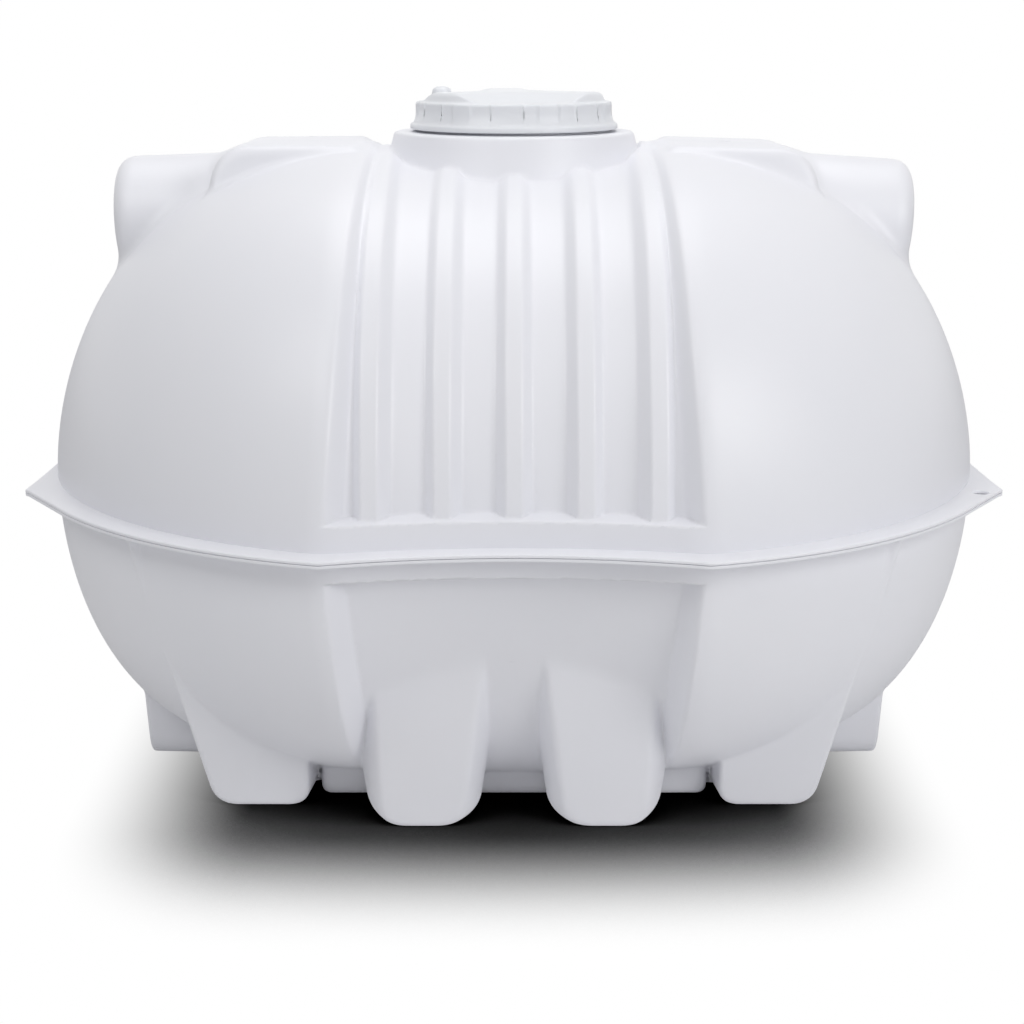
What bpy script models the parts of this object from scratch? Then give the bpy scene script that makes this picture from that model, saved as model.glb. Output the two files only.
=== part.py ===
"""Horizontal water tank of rotationally moulded plastic, lying on twelve moulded feet.

Two domed ends and a ribbed waist make the upper half, two bowls and a plain waist the lower half, and
a flange with four ears runs round the middle. A screwed lid closes the manhole on top. Metres, +Z up,
length along X, front towards -Y, origin on the ground under the middle.
"""

import math

import bmesh
import bpy
from mathutils import Vector

# Overall form
CENTRE_OFFSET = 0.100
DOME_RADIUS = 0.990
DOME_HEIGHT = 0.758
DOME_ROUNDNESS = 3.06
DOME_FLATNESS = 1.81
BOWL_DEPTH = 0.625
BELLY_CLEARANCE = 0.0217
BOWL_ROUNDNESS = 5.10
BOWL_FLATNESS = 1.90
WALL = 0.009
GAP = 0.0003

# Flange round the middle, its ears and the hole in one ear
FLANGE_THICKNESS = 0.015
FLANGE_OVERHANG = 0.060
FLANGE_WAIST_OVERHANG = 0.05491
EAR_CUT = 0.045
EAR_HALF_SPAN = 0.390
EAR_ROUND = 0.015
EAR_TURN_START = -10.0
EAR_TURN_SPAN = 75.0
END_HOLLOW = 0.012
EAR_HOLE_RADIUS = 0.018
EAR_HOLE_INSET_X = 0.059
EAR_HOLE_INSET_Y = 0.020

# Waist between the domes, with the sunk panel and its ribs
WAIST_MARGIN = 0.082
UPPER_NARROWING = 0.066
LOWER_NARROWING = 0.075
WAIST_DIP = 0.051
TOP_DIP_SHARE = 0.4
PANEL_SINK = 0.042
PANEL_SINK_TOP = 0.020
PANEL_SIDE = 0.040
SILL_HEIGHT = 0.062
SILL_RISE = 0.006
LOWER_SINK = 0.036
LOWER_HOLLOW = 0.050
LOWER_BORDER = 0.034
RIB_COUNT = 5
RIB_MARGIN = 0.006
RIB_WIDTH = 0.075
RIB_CREST = 0.050
RIB_HEIGHT = 0.028
RIB_HEIGHT_TOP = 0.020

# Manhole collar, neck, seal and lid
COLLAR_STAND = 0.019
COLLAR_DECK = 0.0606
COLLAR_FLARE = 0.0224
COLLAR_SKIRT_DEPTH = 0.131
COLLAR_SHOULDER_DROP = 0.034
COLLAR_EDGE = 0.004
NECK_RADIUS = 0.2200
NECK_HEIGHT = 0.049
SEAL_THICKNESS = 0.005
SEAL_WIDTH = 0.008
LID_CLEARANCE = 0.0055
LID_RIM_OVERHANG = 0.0115
LID_RIM_THICKNESS = 0.012
LID_EDGE = 0.003
LID_ROOF = 0.0094
CROWN_HEIGHT = 0.034
CROWN_DRAFT = 0.005
CROWN_EDGE = 0.009
LID_WALL = 0.006
LID_LIFT = 0.006
SCOOP_COUNT = 3
SCOOP_TURN = 7.0
SCOOP_AXIS = 0.298
SCOOP_RADIUS = 0.218
SCOOP_FALL = 0.068
CROWN_INSET = 0.0355
GRIP_COUNT = 24
GRIP_DEPTH = 0.0035
VENT_ANGLE = 150.0
VENT_INSET = 0.0325
VENT_RADIUS = 0.014
VENT_STEM_HEIGHT = 0.009
VENT_CAP_RADIUS = 0.024
VENT_CAP_HEIGHT = 0.026
VENT_CAP_ROUND = 0.012

# Flat pads beside the manhole and the pipe bosses beyond them
PAD_DROP = 0.003
PAD_CLEARANCE = 0.050
PAD_LENGTH = 0.307
PAD_HALF_WIDTH = 0.215
PAD_DRAFT = 0.14
PAD_DEPTH = 0.400
PAD_ROUND = 0.022
PAD_HOLE_RADIUS = 0.015
PAD_HOLE_INSET = 0.142
BOSS_DROP = 0.178
BOSS_RADIUS = 0.147
BOSS_INSET = 0.168
BOSS_ROUND = 0.045
BOSS_LAP = 0.120

# Feet and the base block between them
MIDDLE_FOOT_INSET = 0.240
MIDDLE_FOOT_DEPTH = 0.182
MIDDLE_FOOT_LEAN = 0.11
MIDDLE_FOOT_INNER = 0.085
MIDDLE_FOOT_WIDTH = 0.202
MIDDLE_FOOT_SKEW = 0.006
MIDDLE_FOOT_SPLAY = 0.024
CORNER_FOOT_LEAN = 0.21
CORNER_FOOT_LENGTH = 0.251
CORNER_FOOT_FLARE = 0.076
CORNER_FOOT_DEPTH = 0.250
END_FOOT_INSET = 0.232
END_FOOT_LEAN = 0.06
END_FOOT_LENGTH = 0.248
END_FOOT_INNER = 0.090
END_FOOT_WIDTH = 0.230
FOOT_SPLAY = 0.012
FOOT_DRAFT = 0.13
FOOT_ROUND = 0.034
FOOT_HEADROOM = 0.222
FOOT_SPACING = 0.057
BASE_END_MARGIN = 0.146
BASE_ROUND = 0.020

# Hidden core of the cutting solids and how far cutters pass beyond what they cut
SOLID_CORE = 0.200
CUTTER_MARGIN = 0.050

# Number of facets
DOME_TURNS = 48
DOME_ROWS = 10
WAIST_STATIONS = 20
LOWER_STATIONS = 16
LOWER_COLUMNS = 3
ROUND_TURNS = 40
BOSS_TURNS = 24
SMALL_TURNS = 20
BOSS_ROUND_STEPS = 3
EDGE_SEGMENTS = 2
GRIP_STEPS = 3
CROWN_TURNS = 72
EAR_STEPS = 3
END_STEPS = 4
ARC_STEPS = 9
MOUTH_STEPS = 12
FLANGE_WAIST_STEPS = 5

# Heights
FLANGE_TOP = BELLY_CLEARANCE + BOWL_DEPTH + GAP + FLANGE_THICKNESS
UPPER_BASE = FLANGE_TOP + GAP
LOWER_BASE = FLANGE_TOP - FLANGE_THICKNESS - GAP
COLLAR_TOP = FLANGE_TOP + DOME_HEIGHT + COLLAR_STAND
NECK_TOP = COLLAR_TOP + NECK_HEIGHT
LID_BOTTOM = COLLAR_TOP + LID_LIFT
LID_CEILING = NECK_TOP + SEAL_THICKNESS + 2 * GAP
LID_SHOULDER = LID_CEILING + LID_ROOF
LID_CROWN = LID_SHOULDER + CROWN_HEIGHT
PAD_TOP = FLANGE_TOP + DOME_HEIGHT - PAD_DROP
BOSS_HEIGHT = FLANGE_TOP + DOME_HEIGHT - BOSS_DROP
FOOT_TOP = FLANGE_TOP - FOOT_HEADROOM

# Manhole, lid and what is placed from them
LID_RADIUS = NECK_RADIUS + LID_CLEARANCE + LID_WALL
LID_RIM_RADIUS = LID_RADIUS + LID_RIM_OVERHANG
CROWN_RADIUS = LID_RADIUS - CROWN_INSET
VENT_REACH = LID_RADIUS - VENT_INSET
COLLAR_RADIUS = NECK_RADIUS + COLLAR_DECK
COLLAR_SKIRT_RADIUS = COLLAR_RADIUS + COLLAR_FLARE
WAIST_HALF_WIDTH = COLLAR_SKIRT_RADIUS + WAIST_MARGIN
PAD_INNER_X = COLLAR_SKIRT_RADIUS + PAD_CLEARANCE
PAD_OUTER_X = PAD_INNER_X + PAD_LENGTH
PAD_HOLE_X = PAD_INNER_X + PAD_HOLE_INSET

# Reaches from the middle of the tank
END_REACH = CENTRE_OFFSET + DOME_RADIUS
FLANGE_RADIUS = DOME_RADIUS + FLANGE_OVERHANG
EAR_REACH = CENTRE_OFFSET + FLANGE_RADIUS - EAR_CUT
WAIST_CORNER_Y = math.sqrt(DOME_RADIUS**2 - (WAIST_HALF_WIDTH - CENTRE_OFFSET) ** 2)
FLANGE_WAIST = WAIST_CORNER_Y - WAIST_DIP + FLANGE_WAIST_OVERHANG
BOSS_REACH = END_REACH - BOSS_INSET
BOSS_ROOT = PAD_OUTER_X - BOSS_LAP

# Feet and tray
MIDDLE_FOOT_FRONT = DOME_RADIUS - MIDDLE_FOOT_INSET
MIDDLE_FOOT_OUTER = MIDDLE_FOOT_INNER + MIDDLE_FOOT_WIDTH
BASE_HALF_WIDTH = MIDDLE_FOOT_FRONT - MIDDLE_FOOT_DEPTH
BASE_HALF_LENGTH = MIDDLE_FOOT_OUTER + BASE_END_MARGIN
CORNER_FOOT_OUTER = BASE_HALF_LENGTH + CORNER_FOOT_LENGTH
END_FOOT_REACH = END_REACH - END_FOOT_INSET
END_FOOT_ROOT = END_FOOT_REACH - END_FOOT_LENGTH
END_FOOT_OUTER = END_FOOT_INNER + END_FOOT_WIDTH
CORNER_FOOT_BACK = END_FOOT_OUTER + FOOT_SPACING
CORNER_FOOT_FRONT = CORNER_FOOT_BACK + CORNER_FOOT_DEPTH


def clear_scene():
    """Removes what the scene holds at start."""
    for old in list(bpy.data.objects):
        bpy.data.objects.remove(old, do_unlink=True)


def make_material(name, colour, roughness, metallic=0.0):
    """A Principled material with a plain colour."""
    material = bpy.data.materials.new(name)
    material.use_nodes = True
    shader = material.node_tree.nodes["Principled BSDF"]
    shader.inputs["Base Color"].default_value = (*colour, 1.0)
    shader.inputs["Roughness"].default_value = roughness
    shader.inputs["Metallic"].default_value = metallic
    material.diffuse_color = (*colour, 1.0)
    return material


def finish_mesh(bm, name, material, smooth_angle=35.0):
    """Turns a bmesh into a named object with outward faces, and returns it."""
    bmesh.ops.recalc_face_normals(bm, faces=bm.faces)
    mesh = bpy.data.meshes.new(name)
    bm.to_mesh(mesh)
    bm.free()
    mesh.shade_smooth()
    mesh.set_sharp_from_angle(angle=math.radians(smooth_angle))
    made = bpy.data.objects.new(name, mesh)
    made.data.materials.append(material)
    bpy.context.scene.collection.objects.link(made)
    return made


def as_cutter(made):
    """Marks an object as a cutting tool that isn't part of the tank."""
    made.hide_render = True
    made.display_type = "WIRE"
    return made


def cut(target, cutter):
    """Takes the cutter's volume away from the target."""
    boolean = target.modifiers.new("cut_" + cutter.name, "BOOLEAN")
    boolean.operation = "DIFFERENCE"
    boolean.solver = "EXACT"
    boolean.object = cutter


def cut_together(target, cutters):
    """Takes the volume of several cutters away from the target in one cut."""
    group = bpy.data.collections.new("cutters_of_" + target.name)
    for cutter in cutters:
        group.objects.link(cutter)
    boolean = target.modifiers.new("cut_all", "BOOLEAN")
    boolean.operation = "DIFFERENCE"
    boolean.solver = "EXACT"
    boolean.operand_type = "COLLECTION"
    boolean.collection = group


def offset_path(points, distance):
    """Moves an open 2D path sideways, to the right of its direction, with mitred corners."""
    moved = []
    last = len(points) - 1
    for index, point in enumerate(points):
        before = points[max(index - 1, 0)]
        after = points[min(index + 1, last)]
        first = (Vector(point) - Vector(before)) if index else (Vector(after) - Vector(point))
        second = (Vector(after) - Vector(point)) if index < last else first
        first.normalize()
        second.normalize()
        normal_a = Vector((first.y, -first.x))
        normal_b = Vector((second.y, -second.x))
        middle = (normal_a + normal_b).normalized()
        moved.append(Vector(point) + middle * distance / max(middle.dot(normal_a), 0.5))
    return moved


def dome_profile(radius, height, power_r, power_z, rows):
    """Points (r, h) of the turned profile, from the flange at h = 0 to the crown on the axis."""
    points = []
    for row in range(rows + 1):
        angle = math.pi / 2 * row / rows
        r = radius * math.cos(angle) ** (2.0 / power_r) if row < rows else 0.0
        points.append((r, height * math.sin(angle) ** (2.0 / power_z)))
    return points


def waist_edge_x(height, narrowing):
    """Half width of the waist at a height above or below the flange."""
    return WAIST_HALF_WIDTH - narrowing * height


def edge_reach(angle, height, power_r, power_z, narrowing):
    """Distance from the middle of the tank to the dome's cut edge, at an angle above the flange."""
    low, high = 0.0, 2.0 * DOME_RADIUS
    for _ in range(50):
        reach = (low + high) / 2
        up = reach * math.sin(angle)
        across = reach * math.cos(angle)
        r = math.hypot(waist_edge_x(up, narrowing) - CENTRE_OFFSET, across)
        if (r / DOME_RADIUS) ** power_r + (up / height) ** power_z < 1.0:
            low = reach
        else:
            high = reach
    return reach


def spin_path(bm, path, centre_x, turns):
    """Turns a path of (r, z) points about a vertical axis at centre_x."""
    verts = [bm.verts.new((centre_x + r, 0.0, z)) for r, z in path]
    edges = [bm.edges.new(pair) for pair in zip(verts, verts[1:])]
    if path[0][0] > 0.0:
        edges.append(bm.edges.new((verts[-1], verts[0])))
    bmesh.ops.spin(
        bm,
        geom=verts + edges,
        cent=(centre_x, 0.0, 0.0),
        axis=(0.0, 0.0, 1.0),
        angle=2 * math.pi,
        steps=turns,
        use_merge=True,
    )
    bmesh.ops.remove_doubles(bm, verts=bm.verts, dist=1e-6)


def dome_part(name, side, material, base, down, narrowing, solid_offset=None, whole=False):
    """One domed end of the shell, or with solid_offset a solid of that form for cutting its neighbours."""
    depth = BOWL_DEPTH if down else DOME_HEIGHT
    power_r = BOWL_ROUNDNESS if down else DOME_ROUNDNESS
    power_z = BOWL_FLATNESS if down else DOME_FLATNESS
    up = -1.0 if down else 1.0
    grow = solid_offset or 0.0
    outer = dome_profile(DOME_RADIUS + grow, depth + grow, power_r, power_z, DOME_ROWS)
    inner = dome_profile(DOME_RADIUS - WALL, depth - WALL, power_r, power_z, DOME_ROWS)
    if solid_offset is None:
        path = outer[::-1] + inner
    else:
        path = outer[::-1] + [(0.0, 0.0)]
    bm = bmesh.new()
    spin_path(bm, [(r, base + up * h) for r, h in path], side * CENTRE_OFFSET, DOME_TURNS)
    if whole:
        return finish_mesh(bm, name, material)
    inward = GAP / 2 if solid_offset is None else -GAP
    normal = Vector((side, 0.0, up * narrowing)).normalized()
    point = Vector((side * (WAIST_HALF_WIDTH + inward), 0.0, base))
    bmesh.ops.bisect_plane(
        bm,
        geom=bm.verts[:] + bm.edges[:] + bm.faces[:],
        plane_co=point,
        plane_no=normal,
        clear_inner=True,
    )
    rim = [edge for edge in bm.edges if edge.is_boundary]
    bmesh.ops.holes_fill(bm, edges=rim, sides=0)
    return finish_mesh(bm, name, material)


def rib_points(centre, height, narrow):
    """Section of one rib as (x, rise) points, from its left foot to its right foot."""
    foot = RIB_WIDTH / 2 * narrow
    crest = RIB_CREST / 2 * narrow
    return [(centre - foot, 0.0), (centre - crest, height), (centre + crest, height), (centre + foot, 0.0)]


def upper_section(angle, sunk):
    """Outer section (x, reach) of the ribbed waist at one angle above the flange."""
    reach = edge_reach(angle, DOME_HEIGHT, DOME_ROUNDNESS, DOME_FLATNESS, UPPER_NARROWING)
    edge = waist_edge_x(reach * math.sin(angle), UPPER_NARROWING)
    narrow = edge / WAIST_HALF_WIDTH
    steep = math.sin(angle) ** 2
    dip = WAIST_DIP * (1.0 + (TOP_DIP_SHARE - 1.0) * steep)
    sink = (PANEL_SINK + (PANEL_SINK_TOP - PANEL_SINK) * steep) * sunk
    rise = (RIB_HEIGHT + (RIB_HEIGHT_TOP - RIB_HEIGHT) * steep) * sunk
    side = PANEL_SIDE * narrow
    spread = edge - side - (RIB_WIDTH / 2 + RIB_MARGIN) * narrow
    points = [(-edge, 0.0), (-(edge - side), -sink)]
    for index in range(RIB_COUNT):
        centre = spread * (2 * index / (RIB_COUNT - 1) - 1.0)
        points += [(x, up - sink) for x, up in rib_points(centre, rise, narrow)]
    points += [(edge - side, -sink), (edge, 0.0)]
    return [(x, reach - dip * (1.0 - (x / edge) ** 2) + up) for x, up in points]


def lower_section(angle, sunk):
    """Outer section (x, reach) of the plain waist at one angle below the flange."""
    reach = edge_reach(angle, BOWL_DEPTH, BOWL_ROUNDNESS, BOWL_FLATNESS, LOWER_NARROWING)
    edge = waist_edge_x(reach * math.sin(angle), LOWER_NARROWING)
    fade = math.cos(angle) ** 2
    dip = WAIST_DIP * fade
    hollow = LOWER_HOLLOW * math.sin(4 * min(angle, math.pi - angle, math.pi / 4))
    sink = (LOWER_SINK * fade + hollow) * sunk
    points = [(-edge, 0.0)]
    for index in range(-LOWER_COLUMNS, LOWER_COLUMNS + 1):
        points.append(((edge - PANEL_SIDE) * index / LOWER_COLUMNS, -sink))
    points.append((edge, 0.0))
    return [(x, reach - dip * (1.0 - (x / edge) ** 2) + up) for x, up in points]


def waist_ring(bm, section, angle, base, up, narrowing, solid, inset):
    """Closed loop of the wall's section, standing in a plane through the tank's long axis."""
    outer = [Vector(point) for point in section]
    inner = [Vector((x, SOLID_CORE)) for x, _ in section] if solid else offset_path(outer, WALL)
    ring = []
    for path in (outer, inner[::-1]):
        for point in path:
            x, reach = point
            height = reach * math.sin(angle)
            limit = waist_edge_x(height, narrowing) - inset
            if abs(point.x) > limit or point in (path[0], path[-1]):
                x = math.copysign(limit, x)
            across = -reach * math.cos(angle)
            ring.append(bm.verts.new((x, across, base + up * height)))
    for pair in zip(ring, ring[1:] + ring[:1]):
        bm.edges.new(pair)
    return ring


def loft(bm, rings):
    """Joins each ring to the next with faces and closes both ends."""
    for first, second in zip(rings, rings[1:]):
        count = len(first)
        for index in range(count):
            after = (index + 1) % count
            bm.faces.new((first[index], first[after], second[after], second[index]))
    bm.faces.new(rings[0])
    bm.faces.new(rings[-1])


def waist_part(name, material, base, down, solid=False):
    """The waist's shell over the top or under the belly, or a solid of that form for cutting."""
    up = -1.0 if down else 1.0
    narrowing = LOWER_NARROWING if down else UPPER_NARROWING
    section = lower_section if down else upper_section
    border = LOWER_BORDER if down else SILL_HEIGHT
    count = LOWER_STATIONS if down else WAIST_STATIONS
    start = math.atan2(border, DOME_RADIUS - WAIST_DIP)
    panel = math.atan2(border + SILL_RISE, DOME_RADIUS - WAIST_DIP - PANEL_SINK)
    stations = [(0.0, 0.0), (start, 0.0)]
    for index in range(count + 1):
        stations.append((panel + (math.pi - 2 * panel) * index / count, 1.0))
    stations += [(math.pi - start, 0.0), (math.pi, 0.0)]
    grow = GAP if solid else 0.0
    inset = -GAP if solid else GAP / 2
    bm = bmesh.new()
    rings = []
    for angle, sunk in stations:
        points = [(x, reach + grow) for x, reach in section(angle, sunk)]
        rings.append(waist_ring(bm, points, angle, base, up, narrowing, solid, inset))
    loft(bm, rings)
    bmesh.ops.triangulate(bm, faces=bm.faces, quad_method="FIXED")
    return finish_mesh(bm, name, material)


def flange_outline():
    """Corner points of the flange, one quadrant mirrored four times."""
    tip = Vector((EAR_REACH - CENTRE_OFFSET, EAR_HALF_SPAN))
    toward = math.atan2(tip.y, tip.x)
    leave = toward + math.acos(FLANGE_RADIUS / tip.length)
    corner_y = math.sqrt(FLANGE_RADIUS**2 - (WAIST_HALF_WIDTH - CENTRE_OFFSET) ** 2)
    corner = math.atan2(corner_y, WAIST_HALF_WIDTH - CENTRE_OFFSET)
    quadrant = []
    for index in range(END_STEPS):
        share = index / END_STEPS
        quadrant.append((EAR_REACH - END_HOLLOW * (1.0 - share**2), EAR_HALF_SPAN * share))
    quadrant += ear_round()
    for index in range(ARC_STEPS + 1):
        angle = leave + (corner - leave) * index / ARC_STEPS
        x = CENTRE_OFFSET + FLANGE_RADIUS * math.cos(angle)
        quadrant.append((x, FLANGE_RADIUS * math.sin(angle)))
    for index in range(1, FLANGE_WAIST_STEPS + 1):
        x = WAIST_HALF_WIDTH * (1.0 - index / FLANGE_WAIST_STEPS)
        dip = (corner_y - FLANGE_WAIST) * (1.0 - (x / WAIST_HALF_WIDTH) ** 2)
        quadrant.append((x, corner_y - dip))
    back = [(-x, y) for x, y in quadrant[-2::-1]]
    half = quadrant + back
    return half + [(x, -y) for x, y in half[-2:0:-1]]


def ear_round():
    """Rounded tip of one ear."""
    points = []
    for index in range(EAR_STEPS + 1):
        turn = math.radians(EAR_TURN_START + EAR_TURN_SPAN * index / EAR_STEPS)
        x = EAR_REACH - EAR_ROUND + EAR_ROUND * math.cos(turn)
        points.append((x, EAR_HALF_SPAN - EAR_ROUND + EAR_ROUND * math.sin(turn)))
    return points


def mouth_outline():
    """The flange's inner edge, in line with the inside of the walls."""
    quadrant = []
    radius = DOME_RADIUS - WALL
    edge = WAIST_HALF_WIDTH
    corner_y = WAIST_CORNER_Y - WALL
    corner = math.atan2(corner_y, edge - CENTRE_OFFSET)
    for index in range(MOUTH_STEPS + 1):
        angle = corner * index / MOUTH_STEPS
        quadrant.append((CENTRE_OFFSET + radius * math.cos(angle), radius * math.sin(angle)))
    for index in range(1, FLANGE_WAIST_STEPS + 1):
        x = edge * (1.0 - index / FLANGE_WAIST_STEPS)
        quadrant.append((x, corner_y - WAIST_DIP * (1.0 - (x / edge) ** 2)))
    back = [(-x, y) for x, y in quadrant[-2::-1]]
    half = quadrant + back
    return half + [(x, -y) for x, y in half[-2:0:-1]]


def prism(name, outline, bottom, top, material):
    """A plate of the outline between two heights."""
    bm = bmesh.new()
    face = bm.faces.new([bm.verts.new((x, y, bottom)) for x, y in outline])
    raised = bmesh.ops.extrude_face_region(bm, geom=[face])
    moved = [item for item in raised["geom"] if isinstance(item, bmesh.types.BMVert)]
    bmesh.ops.translate(bm, verts=moved, vec=(0.0, 0.0, top - bottom))
    return finish_mesh(bm, name, material)


def flange_parts(material):
    """The two halves of the flange, face to face, with the hole through one ear."""
    half = FLANGE_THICKNESS / 2
    low = FLANGE_TOP - FLANGE_THICKNESS - CUTTER_MARGIN
    high = FLANGE_TOP + CUTTER_MARGIN
    mouth = as_cutter(prism("mouth_cutter", mouth_outline(), low, high, material))
    hole = as_cutter(rod("ear_cutter", EAR_HOLE_RADIUS, low, high, material))
    hole.location = (EAR_REACH - EAR_HOLE_INSET_X, -(EAR_HALF_SPAN + EAR_HOLE_INSET_Y), 0.0)
    levels = {
        "upper_flange": (FLANGE_TOP - half + GAP / 2, FLANGE_TOP),
        "lower_flange": (FLANGE_TOP - FLANGE_THICKNESS, FLANGE_TOP - half - GAP / 2),
    }
    for name, (bottom, top) in levels.items():
        plate = prism(name, flange_outline(), bottom, top, material)
        cut(plate, mouth)
        cut(plate, hole)


def rod(name, radius, bottom, top, material, turns=SMALL_TURNS):
    """An upright round bar."""
    outline = []
    for index in range(turns):
        angle = 2 * math.pi * index / turns
        outline.append((radius * math.cos(angle), radius * math.sin(angle)))
    return prism(name, outline, bottom, top, material)


def turned(name, path, material, turns=ROUND_TURNS):
    """A body turned about the manhole's axis from a closed path of (r, z) points."""
    bm = bmesh.new()
    spin_path(bm, path, 0.0, turns)
    return finish_mesh(bm, name, material)


def collar_path():
    """Section of the collar: upright skirt, sloping shoulder, flat deck and the neck under the lid."""
    deck = COLLAR_TOP - WALL
    skirt = COLLAR_SKIRT_RADIUS
    bore = NECK_RADIUS - WALL
    bottom = COLLAR_TOP - COLLAR_SKIRT_DEPTH
    shoulder = COLLAR_TOP - COLLAR_SHOULDER_DROP
    return [
        (skirt, bottom),
        (skirt, shoulder),
        (COLLAR_RADIUS, COLLAR_TOP - COLLAR_EDGE),
        (COLLAR_RADIUS - COLLAR_EDGE, COLLAR_TOP),
        (NECK_RADIUS, COLLAR_TOP),
        (NECK_RADIUS, NECK_TOP),
        (bore, NECK_TOP),
        (bore, deck),
        (COLLAR_RADIUS - WALL, deck),
        (skirt - WALL, shoulder - COLLAR_EDGE),
        (skirt - WALL, bottom),
    ]


def lid_outline(radius, grip):
    """Plan of the lid's wall, with upright finger grooves all round."""
    points = []
    for index in range(GRIP_COUNT * GRIP_STEPS):
        angle = 2 * math.pi * index / (GRIP_COUNT * GRIP_STEPS)
        sunk = grip if index % GRIP_STEPS else 0.0
        points.append(((radius - sunk) * math.cos(angle), (radius - sunk) * math.sin(angle)))
    return points


def crown_outline(shrink, scoop):
    """Plan of the lid's crown: a disc with round scoops of one radius taken out of its edge."""
    points = []
    step = 2 * math.pi / SCOOP_COUNT
    front = math.radians(SCOOP_TURN - 90.0)
    for index in range(CROWN_TURNS):
        angle = 2 * math.pi * index / CROWN_TURNS
        off = (angle - front + step / 2) % step - step / 2
        r = CROWN_RADIUS - shrink
        across = SCOOP_AXIS * math.sin(off)
        if abs(across) < scoop + shrink:
            chord = math.sqrt((scoop + shrink) ** 2 - across**2)
            r = min(r, SCOOP_AXIS * math.cos(off) - chord)
        points.append((r * math.cos(angle), r * math.sin(angle)))
    return points


def stacked(bm, levels):
    """Closed body through outlines of equal length, given as (outline, z) from bottom to top."""
    rings = [[bm.verts.new((x, y, z)) for x, y in outline] for outline, z in levels]
    loft(bm, rings)


def lid_part(material):
    """The screwed lid: a grooved cap with a rim, hollow below."""
    bottom = LID_BOTTOM
    rim_top = bottom + LID_RIM_THICKNESS
    levels = [
        (lid_outline(LID_RIM_RADIUS, 0.0), bottom),
        (lid_outline(LID_RIM_RADIUS, 0.0), rim_top - LID_EDGE),
        (lid_outline(LID_RIM_RADIUS - LID_EDGE, 0.0), rim_top),
        (lid_outline(LID_RADIUS, GRIP_DEPTH), rim_top),
        (lid_outline(LID_RADIUS, GRIP_DEPTH), LID_SHOULDER - LID_EDGE),
        (lid_outline(LID_RADIUS - GRIP_DEPTH - LID_EDGE, 0.0), LID_SHOULDER),
    ]
    bm = bmesh.new()
    stacked(bm, levels)
    lid = finish_mesh(bm, "manhole_lid", material)
    cavity = rod(
        "lid_cutter",
        LID_RADIUS - LID_WALL,
        bottom - CUTTER_MARGIN,
        LID_CEILING,
        material,
        ROUND_TURNS,
    )
    cut(lid, as_cutter(cavity))


def crown_part(material):
    """The raised crown on the lid, with three scoops that slope down to its shoulder."""
    edge_fall = SCOOP_FALL * CROWN_EDGE / CROWN_HEIGHT
    bm = bmesh.new()
    stacked(
        bm,
        [
            (crown_outline(0.0, SCOOP_RADIUS - SCOOP_FALL), LID_SHOULDER + GAP),
            (crown_outline(CROWN_DRAFT, SCOOP_RADIUS - edge_fall), LID_CROWN - CROWN_EDGE),
            (crown_outline(CROWN_DRAFT + CROWN_EDGE, SCOOP_RADIUS), LID_CROWN),
        ],
    )
    finish_mesh(bm, "lid_crown", material)


def vent_parts(material):
    """The small vent on the lid: a short stem under a round cap with a rounded top edge."""
    foot = LID_SHOULDER + GAP
    turn = math.radians(VENT_ANGLE)
    place = (VENT_REACH * math.cos(turn), VENT_REACH * math.sin(turn), 0.0)
    stem_top = foot + VENT_STEM_HEIGHT
    stem = rod("vent_stem", VENT_RADIUS, foot, stem_top, material)
    stem.location = place
    bottom = stem_top + GAP
    top = bottom + VENT_CAP_HEIGHT
    path = [(0.0, bottom), (VENT_CAP_RADIUS, bottom)]
    for index in range(BOSS_ROUND_STEPS + 1):
        angle = math.pi / 2 * index / BOSS_ROUND_STEPS
        r = VENT_CAP_RADIUS - VENT_CAP_ROUND * (1.0 - math.cos(angle))
        path.append((r, top - VENT_CAP_ROUND * (1.0 - math.sin(angle))))
    path.append((0.0, top))
    cap = turned("vent_cap", path, material, SMALL_TURNS)
    cap.location = place


def block(name, lower, upper, bottom, top, rounding, material, round_bottom=False, round_top=False):
    """A tapered block between two four-cornered outlines, with rounded upright edges."""
    bm = bmesh.new()
    low = [bm.verts.new((x, y, bottom)) for x, y in lower]
    high = [bm.verts.new((x, y, top)) for x, y in upper]
    loft(bm, [low, high])
    bmesh.ops.recalc_face_normals(bm, faces=bm.faces)
    chosen = []
    for edge in bm.edges:
        heights = [vert.co.z for vert in edge.verts]
        upright = abs(heights[0] - heights[1]) > (top - bottom) / 2
        at_bottom = max(heights) < bottom + 1e-6
        at_top = min(heights) > top - 0.25 * (top - bottom) and not upright
        if upright or (round_bottom and at_bottom) or (round_top and at_top):
            chosen.append(edge)
    if rounding > 0.0:
        bmesh.ops.bevel(
            bm,
            geom=chosen,
            offset=rounding,
            segments=EDGE_SEGMENTS,
            profile=0.5,
            affect="EDGES",
            material=-1,
        )
    return finish_mesh(bm, name, material)


def shrunk(outline, by):
    """A convex four-cornered outline with its sides moved inwards."""
    middle = sum((Vector(point) for point in outline), Vector((0.0, 0.0))) / len(outline)
    moved = []
    count = len(outline)
    for index in range(count):
        here = Vector(outline[index])
        lines = []
        for other in (Vector(outline[index - 1]), Vector(outline[(index + 1) % count])):
            along = (here - other).normalized()
            normal = Vector((along.y, -along.x))
            if normal.dot(middle - here) < 0.0:
                normal = -normal
            lines.append(normal)
        between = (lines[0] + lines[1]).normalized()
        moved.append(here + between * by / max(between.dot(lines[0]), 0.3))
    return moved


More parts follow.
